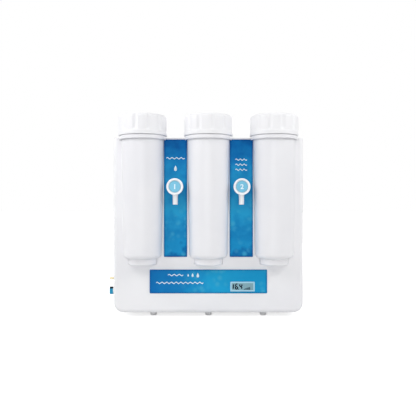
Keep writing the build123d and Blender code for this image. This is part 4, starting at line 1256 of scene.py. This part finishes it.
@dataclass
class Tap(SubAssembly):
    """A push-button tap: body, ring, button with its numeral, stem and spring."""

    side: Side
    numeral: str
    numeral_size: float = 0.0135
    numeral_weight: float = 0.0004
    numeral_depth: float = 0.0003
    numeral_sink: float = 0.0001
    press_travel: float = 0.004
    wire_radius: float = 0.00045
    wire_sides: int = 12
    spring_turns: float = 3.6
    spring_steps: int = 132
    flat_end_share: float = 0.14

    def build(self) -> None:
        """Dress the tap, wind its spring and print its numeral on the button."""
        name = self.side.value
        dress({f"{name}_tap_body": Palette.tap, f"{name}_tap_ring": Palette.tap,
               f"{name}_tap_button": Palette.button, f"{name}_tap_stem": Palette.steel})
        self._add_spring()
        add_piece(f"{name}_tap_numeral", self._numeral(), Palette.mark, f"{name}_button")

    def _add_spring(self) -> None:
        """Put in the return spring."""
        node = f"{self.side.value}_tap_spring"
        low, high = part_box(node)
        spring = add_piece(f"{self.side.value}_return_spring", self._coil(low, high), Palette.steel,
                           CASING_BODY)
        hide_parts(node)
        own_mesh(spring)

    def _coil(self, low: Vector, high: Vector) -> bpy.types.Mesh:
        """A round wire wound about the stem, with flat end turns.

        Args:
            low: Lower corner of the room it fills.
            high: Upper corner of that room.

        Returns:
            The finished mesh.
        """
        centre = (low + high) / 2
        winding = (high.x - low.x) / 2 - self.wire_radius
        start, end = low.y + self.wire_radius, high.y - self.wire_radius
        form = bmesh.new()
        rings = []
        for step in range(self.spring_steps + 1):
            share = step / self.spring_steps
            angle = FULL_TURN * self.spring_turns * share
            climb = (share - self.flat_end_share) / (1 - 2 * self.flat_end_share)
            y = start + (end - start) * clamp(climb)
            ring = []
            for side in range(self.wire_sides):
                turn = FULL_TURN * side / self.wire_sides
                reach = winding + self.wire_radius * math.cos(turn)
                ring.append(form.verts.new((
                    centre.x + reach * math.cos(angle),
                    y + self.wire_radius * math.sin(turn),
                    centre.z + reach * math.sin(angle),
                )))
            rings.append(ring)
        skin(form, rings)
        form.faces.new(rings[0])
        form.faces.new(rings[-1])
        return close_mesh(form, f"{self.side.value}_return_spring", WIRE_CREASE_DEGREES)

    def _numeral(self) -> bpy.types.Mesh:
        """The numeral as a thin raised shape in the middle of the button's face.

        Returns:
            The finished mesh.
        """
        low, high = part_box(f"{self.side.value}_tap_button")
        text = bpy.data.curves.new(f"{self.side.value}_numeral_text", "FONT")
        text.body = self.numeral
        text.size = self.numeral_size
        text.align_x = "CENTER"
        text.align_y = "CENTER"
        text.extrude = self.numeral_depth / 2
        text.offset = self.numeral_weight
        holder = add_object(text.name, text)
        bpy.context.view_layer.update()
        form = bmesh.new()
        form.from_mesh(holder.evaluated_get(bpy.context.evaluated_depsgraph_get()).to_mesh())
        bpy.data.objects.remove(holder)
        bpy.data.curves.remove(text)
        spots = [vert.co for vert in form.verts]
        middle = (Vector(tuple(map(min, *spots))) + Vector(tuple(map(max, *spots)))) / 2
        centre = (low + high) / 2
        front = low.y + self.numeral_sink - self.numeral_depth / 2
        facing_front = tilted((centre.x, front, centre.z), RIGHT_ANGLE)
        bmesh.ops.transform(form, matrix=facing_front @ Matrix.Translation(-middle), verts=form.verts)
        return close_mesh(form, f"{self.side.value}_tap_numeral", FLAT_CREASE_DEGREES)


@dataclass(frozen=True)
class Pictograms:
    """Plain white water signs for the panels: wave lines and drops, as thin prints."""

    stroke: float = 0.0020
    swing: float = 0.0014
    wavelength: float = 0.0095
    least_waves: int = 2
    steps_per_wave: int = 16
    drop_width_share: float = 0.36
    drop_taper: float = 1.3
    drop_steps: int = 28

    def wave(self, start: float, end: float, middle: float) -> Outline:
        """A wavy stroke.

        Args:
            start: X of its left end.
            end: X of its right end.
            middle: Z of its middle line.

        Returns:
            The stroke's outline.
        """
        waves = max(self.least_waves, round((end - start) / self.wavelength))
        count = waves * self.steps_per_wave
        upper, lower = [], []
        for step in range(count + 1):
            x = start + (end - start) * step / count
            z = middle + self.swing * math.sin(FULL_TURN * step / self.steps_per_wave)
            upper.append((x, z + self.stroke / 2))
            lower.append((x, z - self.stroke / 2))
        return upper + lower[::-1]

    def drop(self, x: float, middle: float, height: float) -> Outline:
        """A water drop.

        Args:
            x: X of its middle.
            middle: Z of its middle.
            height: Its height.

        Returns:
            The drop's outline.
        """
        width = height * self.drop_width_share
        outline = []
        for step in range(self.drop_steps):
            turn = FULL_TURN * step / self.drop_steps
            across = width * math.sin(turn) * math.sin(turn / 2) ** self.drop_taper
            outline.append((x + across, middle + height / 2 * math.cos(turn)))
        return outline


@dataclass(frozen=True)
class PanelPrint:
    """One panel's blues and signs, which are placed by shares of the panel's width and height.

    A wave has the shares of its two ends and of its line. A drop has the shares of its middle, and
    its height as a length.
    """

    node: str
    blues: Blues
    wave_shares: tuple[Triple, ...]
    drop_shares: tuple[Triple, ...] = ()


@dataclass
class FrontPanels(SubAssembly):
    """The blue panels on the front, and the plain water signs on them."""

    signs: Pictograms = Pictograms()
    sign_depth: float = 0.00012
    print_gap: float = 0.00002
    panels: tuple[PanelPrint, ...] = (
        PanelPrint("left_panel", Palette.tall_blues, ((5 / 48, 43 / 48, 0.84),),
                   ((0.5, 0.755, 0.0115),)),
        PanelPrint("right_panel", Palette.tall_blues,
                   ((0.25, 0.75, 0.828), (0.25, 0.75, 0.785), (0.25, 0.75, 0.742))),
        PanelPrint("lower_panel", Palette.wide_blues, ((0.055, 0.457, 0.44), (0.155, 0.285, 0.77)),
                   ((0.328, 0.77, 0.006), (0.366, 0.77, 0.008), (0.41, 0.77, 0.010))),
    )

    def build(self) -> None:
        """Print each panel and lay its signs on it."""
        for panel in self.panels:
            node = panel.node
            low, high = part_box(node)
            dress({node: PrintedSheet(f"{node}_print", low, high, panel.blues)})
            name = f"{node}_signs"
            front = low.y - self.sign_depth - self.print_gap
            mesh = plate(name, self._outlines(panel, low, high), front, self.sign_depth)
            add_piece(name, mesh, Palette.mark, CASING_BODY)

    def _outlines(self, panel: PanelPrint, low: Vector, high: Vector) -> list[Outline]:
        """Draw a panel's signs.

        Args:
            panel: What the panel carries.
            low: The panel's lower corner.
            high: Its upper corner.

        Returns:
            The outlines of its waves and drops.
        """
        width, rise = high.x - low.x, high.z - low.z
        waves = [self.signs.wave(low.x + start * width, low.x + end * width, low.z + line * rise)
                 for start, end, line in panel.wave_shares]
        drops = [self.signs.drop(low.x + across * width, low.z + up * rise, height)
                 for across, up, height in panel.drop_shares]
        return waves + drops


@dataclass
class NumberDisplay(SubAssembly):
    """The number display: frame, pale pane, seven-segment figures and a small bar scale."""

    figures: str = "16.4"
    figure_width: float = 0.0070
    figure_height: float = 0.0130
    figure_gap: float = 0.0018
    start_inset: float = 0.0013
    stroke: float = 0.0026
    joint_gap: float = 0.0001
    lean: float = 0.06
    dot_size: float = 0.0019
    dot_back_share: float = 0.72
    thickness: float = 0.00012
    bar_count: int = 7
    bar_width: float = 0.0012
    bar_pitch: float = 0.0019
    bar_rise: float = 0.0006
    bar_first: float = 0.002
    segments: ClassVar[dict[str, str]] = {
        "0": "abcdef", "1": "i", "2": "abged", "3": "abgcd", "4": "fgbc",
        "5": "afgcd", "6": "afgedc", "7": "abc", "8": "abcdefg", "9": "abcdfg",
    }

    def build(self) -> None:
        """Dress the frame, pane and board, and lay the figures and the scale on the pane."""
        dress({"display_frame": Palette.display, "display_pane": Palette.lcd,
               "display_module": Palette.board})
        low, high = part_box("display_pane")
        base = (low.z + high.z) / 2 - self.figure_height / 2
        figures, end = self._figures(low.x + self.start_inset, base)
        scale = self._bars(end + self.figure_gap, base)
        for name, outlines in (("display_figures", figures), ("display_bar_scale", scale)):
            mesh = plate(name, outlines, low.y - self.thickness, self.thickness)
            add_piece(name, mesh, Palette.segment, CASING_BODY)

    def _figures(self, place: float, base: float) -> tuple[list[Outline], float]:
        """Draw the figures.

        Args:
            place: X of the first figure's left edge.
            base: Z of the base line.

        Returns:
            The outlines of their segments, and X where the next figure would start.
        """
        outlines = []
        for figure in self.figures:
            if figure == ".":
                left = place - self.figure_gap * self.dot_back_share - self.dot_size / 2
                outlines.append(rectangle(left, base, self.dot_size, self.dot_size))
                continue
            if self.segments[figure] == "i":
                place -= self.figure_width - self.stroke
            outlines += [self._segment(segment, place, base) for segment in self.segments[figure]]
            place += self.figure_width + self.figure_gap
        return outlines, place

    def _segment(self, segment: str, x: float, z: float) -> Outline:
        """One six-cornered segment of a figure, leaning as such figures do.

        Args:
            segment: Its letter, from a at the top round to g in the middle; i is a bar of full height.
            x: The figure's left edge.
            z: The figure's base line.

        Returns:
            The segment's corners.
        """
        half = self.stroke / 2
        left, right = half, self.figure_width - half
        levels = {"a": self.figure_height - half, "g": self.figure_height / 2, "d": half}
        gap = self.joint_gap
        if segment in levels:
            level = levels[segment]
            start, end = left + gap, right - gap
            corners = [(start, level), (start + half, level - half), (end - half, level - half),
                       (end, level), (end - half, level + half), (start + half, level + half)]
        else:
            across = left if segment in "ef" else right
            start = (levels["d"] if segment in "eci" else levels["g"]) + gap
            end = (levels["g"] if segment in "ec" else levels["a"]) - gap
            corners = [(across, start), (across + half, start + half), (across + half, end - half),
                       (across, end), (across - half, end - half), (across - half, start + half)]
        return [(x + along + self.lean * up, z + up) for along, up in corners]

    def _bars(self, start: float, base: float) -> list[Outline]:
        """The bars of a small rising scale, from X of its left end and Z of its base line."""
        heights = [self.bar_first + bar * self.bar_rise for bar in range(self.bar_count)]
        return [rectangle(start + bar * self.bar_pitch, base, self.bar_width, height)
                for bar, height in enumerate(heights)]


class DressedGroup(SubAssembly):
    """A group that keeps the construction's shapes and only gets its finishes."""

    finishes: ClassVar[dict[str, Finish]]

    def build(self) -> None:
        """Dress each piece of the group."""
        dress(self.finishes)


class SideFittings(DressedGroup):
    """The feed fitting and the drain valve on the left side."""

    finishes = {
        "feed_fitting": Palette.brass,
        "bulkhead_nuts": Palette.brass,
        "valve_body": Palette.valve,
        "valve_plug": Palette.valve,
        "valve_handle": Palette.handle,
    }


class InnerWorks(DressedGroup):
    """What the casing hides: board, pump, valves and tubes."""

    finishes = {
        "control_board": Palette.board,
        "board_parts": Palette.black,
        "tap_gaskets": Palette.seal,
        "tap_nuts": Palette.nut,
        "solenoid_valve": Palette.black,
        "solenoid_coil": Palette.black,
        "pump_motor": Palette.motor,
        "pump_head": Palette.black,
        "pump_bracket": Palette.steel,
        "pump_mounts": Palette.seal,
        "pressure_switch": Palette.black,
        "permeate_tee": Palette.tube,
        "resistivity_cell": Palette.tube,
        "feed_tubes": Palette.tube,
        "product_tubes": Palette.tube,
        "drain_tube": Palette.tube,
    }


def write_sizes() -> None:
    """Bring the scene's placements up to date."""
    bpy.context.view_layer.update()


def main() -> None:
    """Build the studio and every sub-assembly in order."""
    logging.basicConfig(level=logging.INFO, format="%(name)s: %(message)s")
    assemblies: list[SubAssembly] = [
        Studio(),
        Casing(),
        Canister(Side.LEFT, "carbon_cartridge", flute_turn_degrees=-10.6),
        Canister(Side.MIDDLE, "membrane_element", flute_turn_degrees=8.0),
        Canister(Side.RIGHT, "resin_cartridge", flute_turn_degrees=-16.0),
        FrontPanels(),
        NumberDisplay(),
        Tap(Side.LEFT, "1"),
        Tap(Side.RIGHT, "2"),
        SideFittings(),
        InnerWorks(),
    ]
    for assembly in assemblies:
        assembly.build()
    write_sizes()


if __name__ == "__main__":
    main()
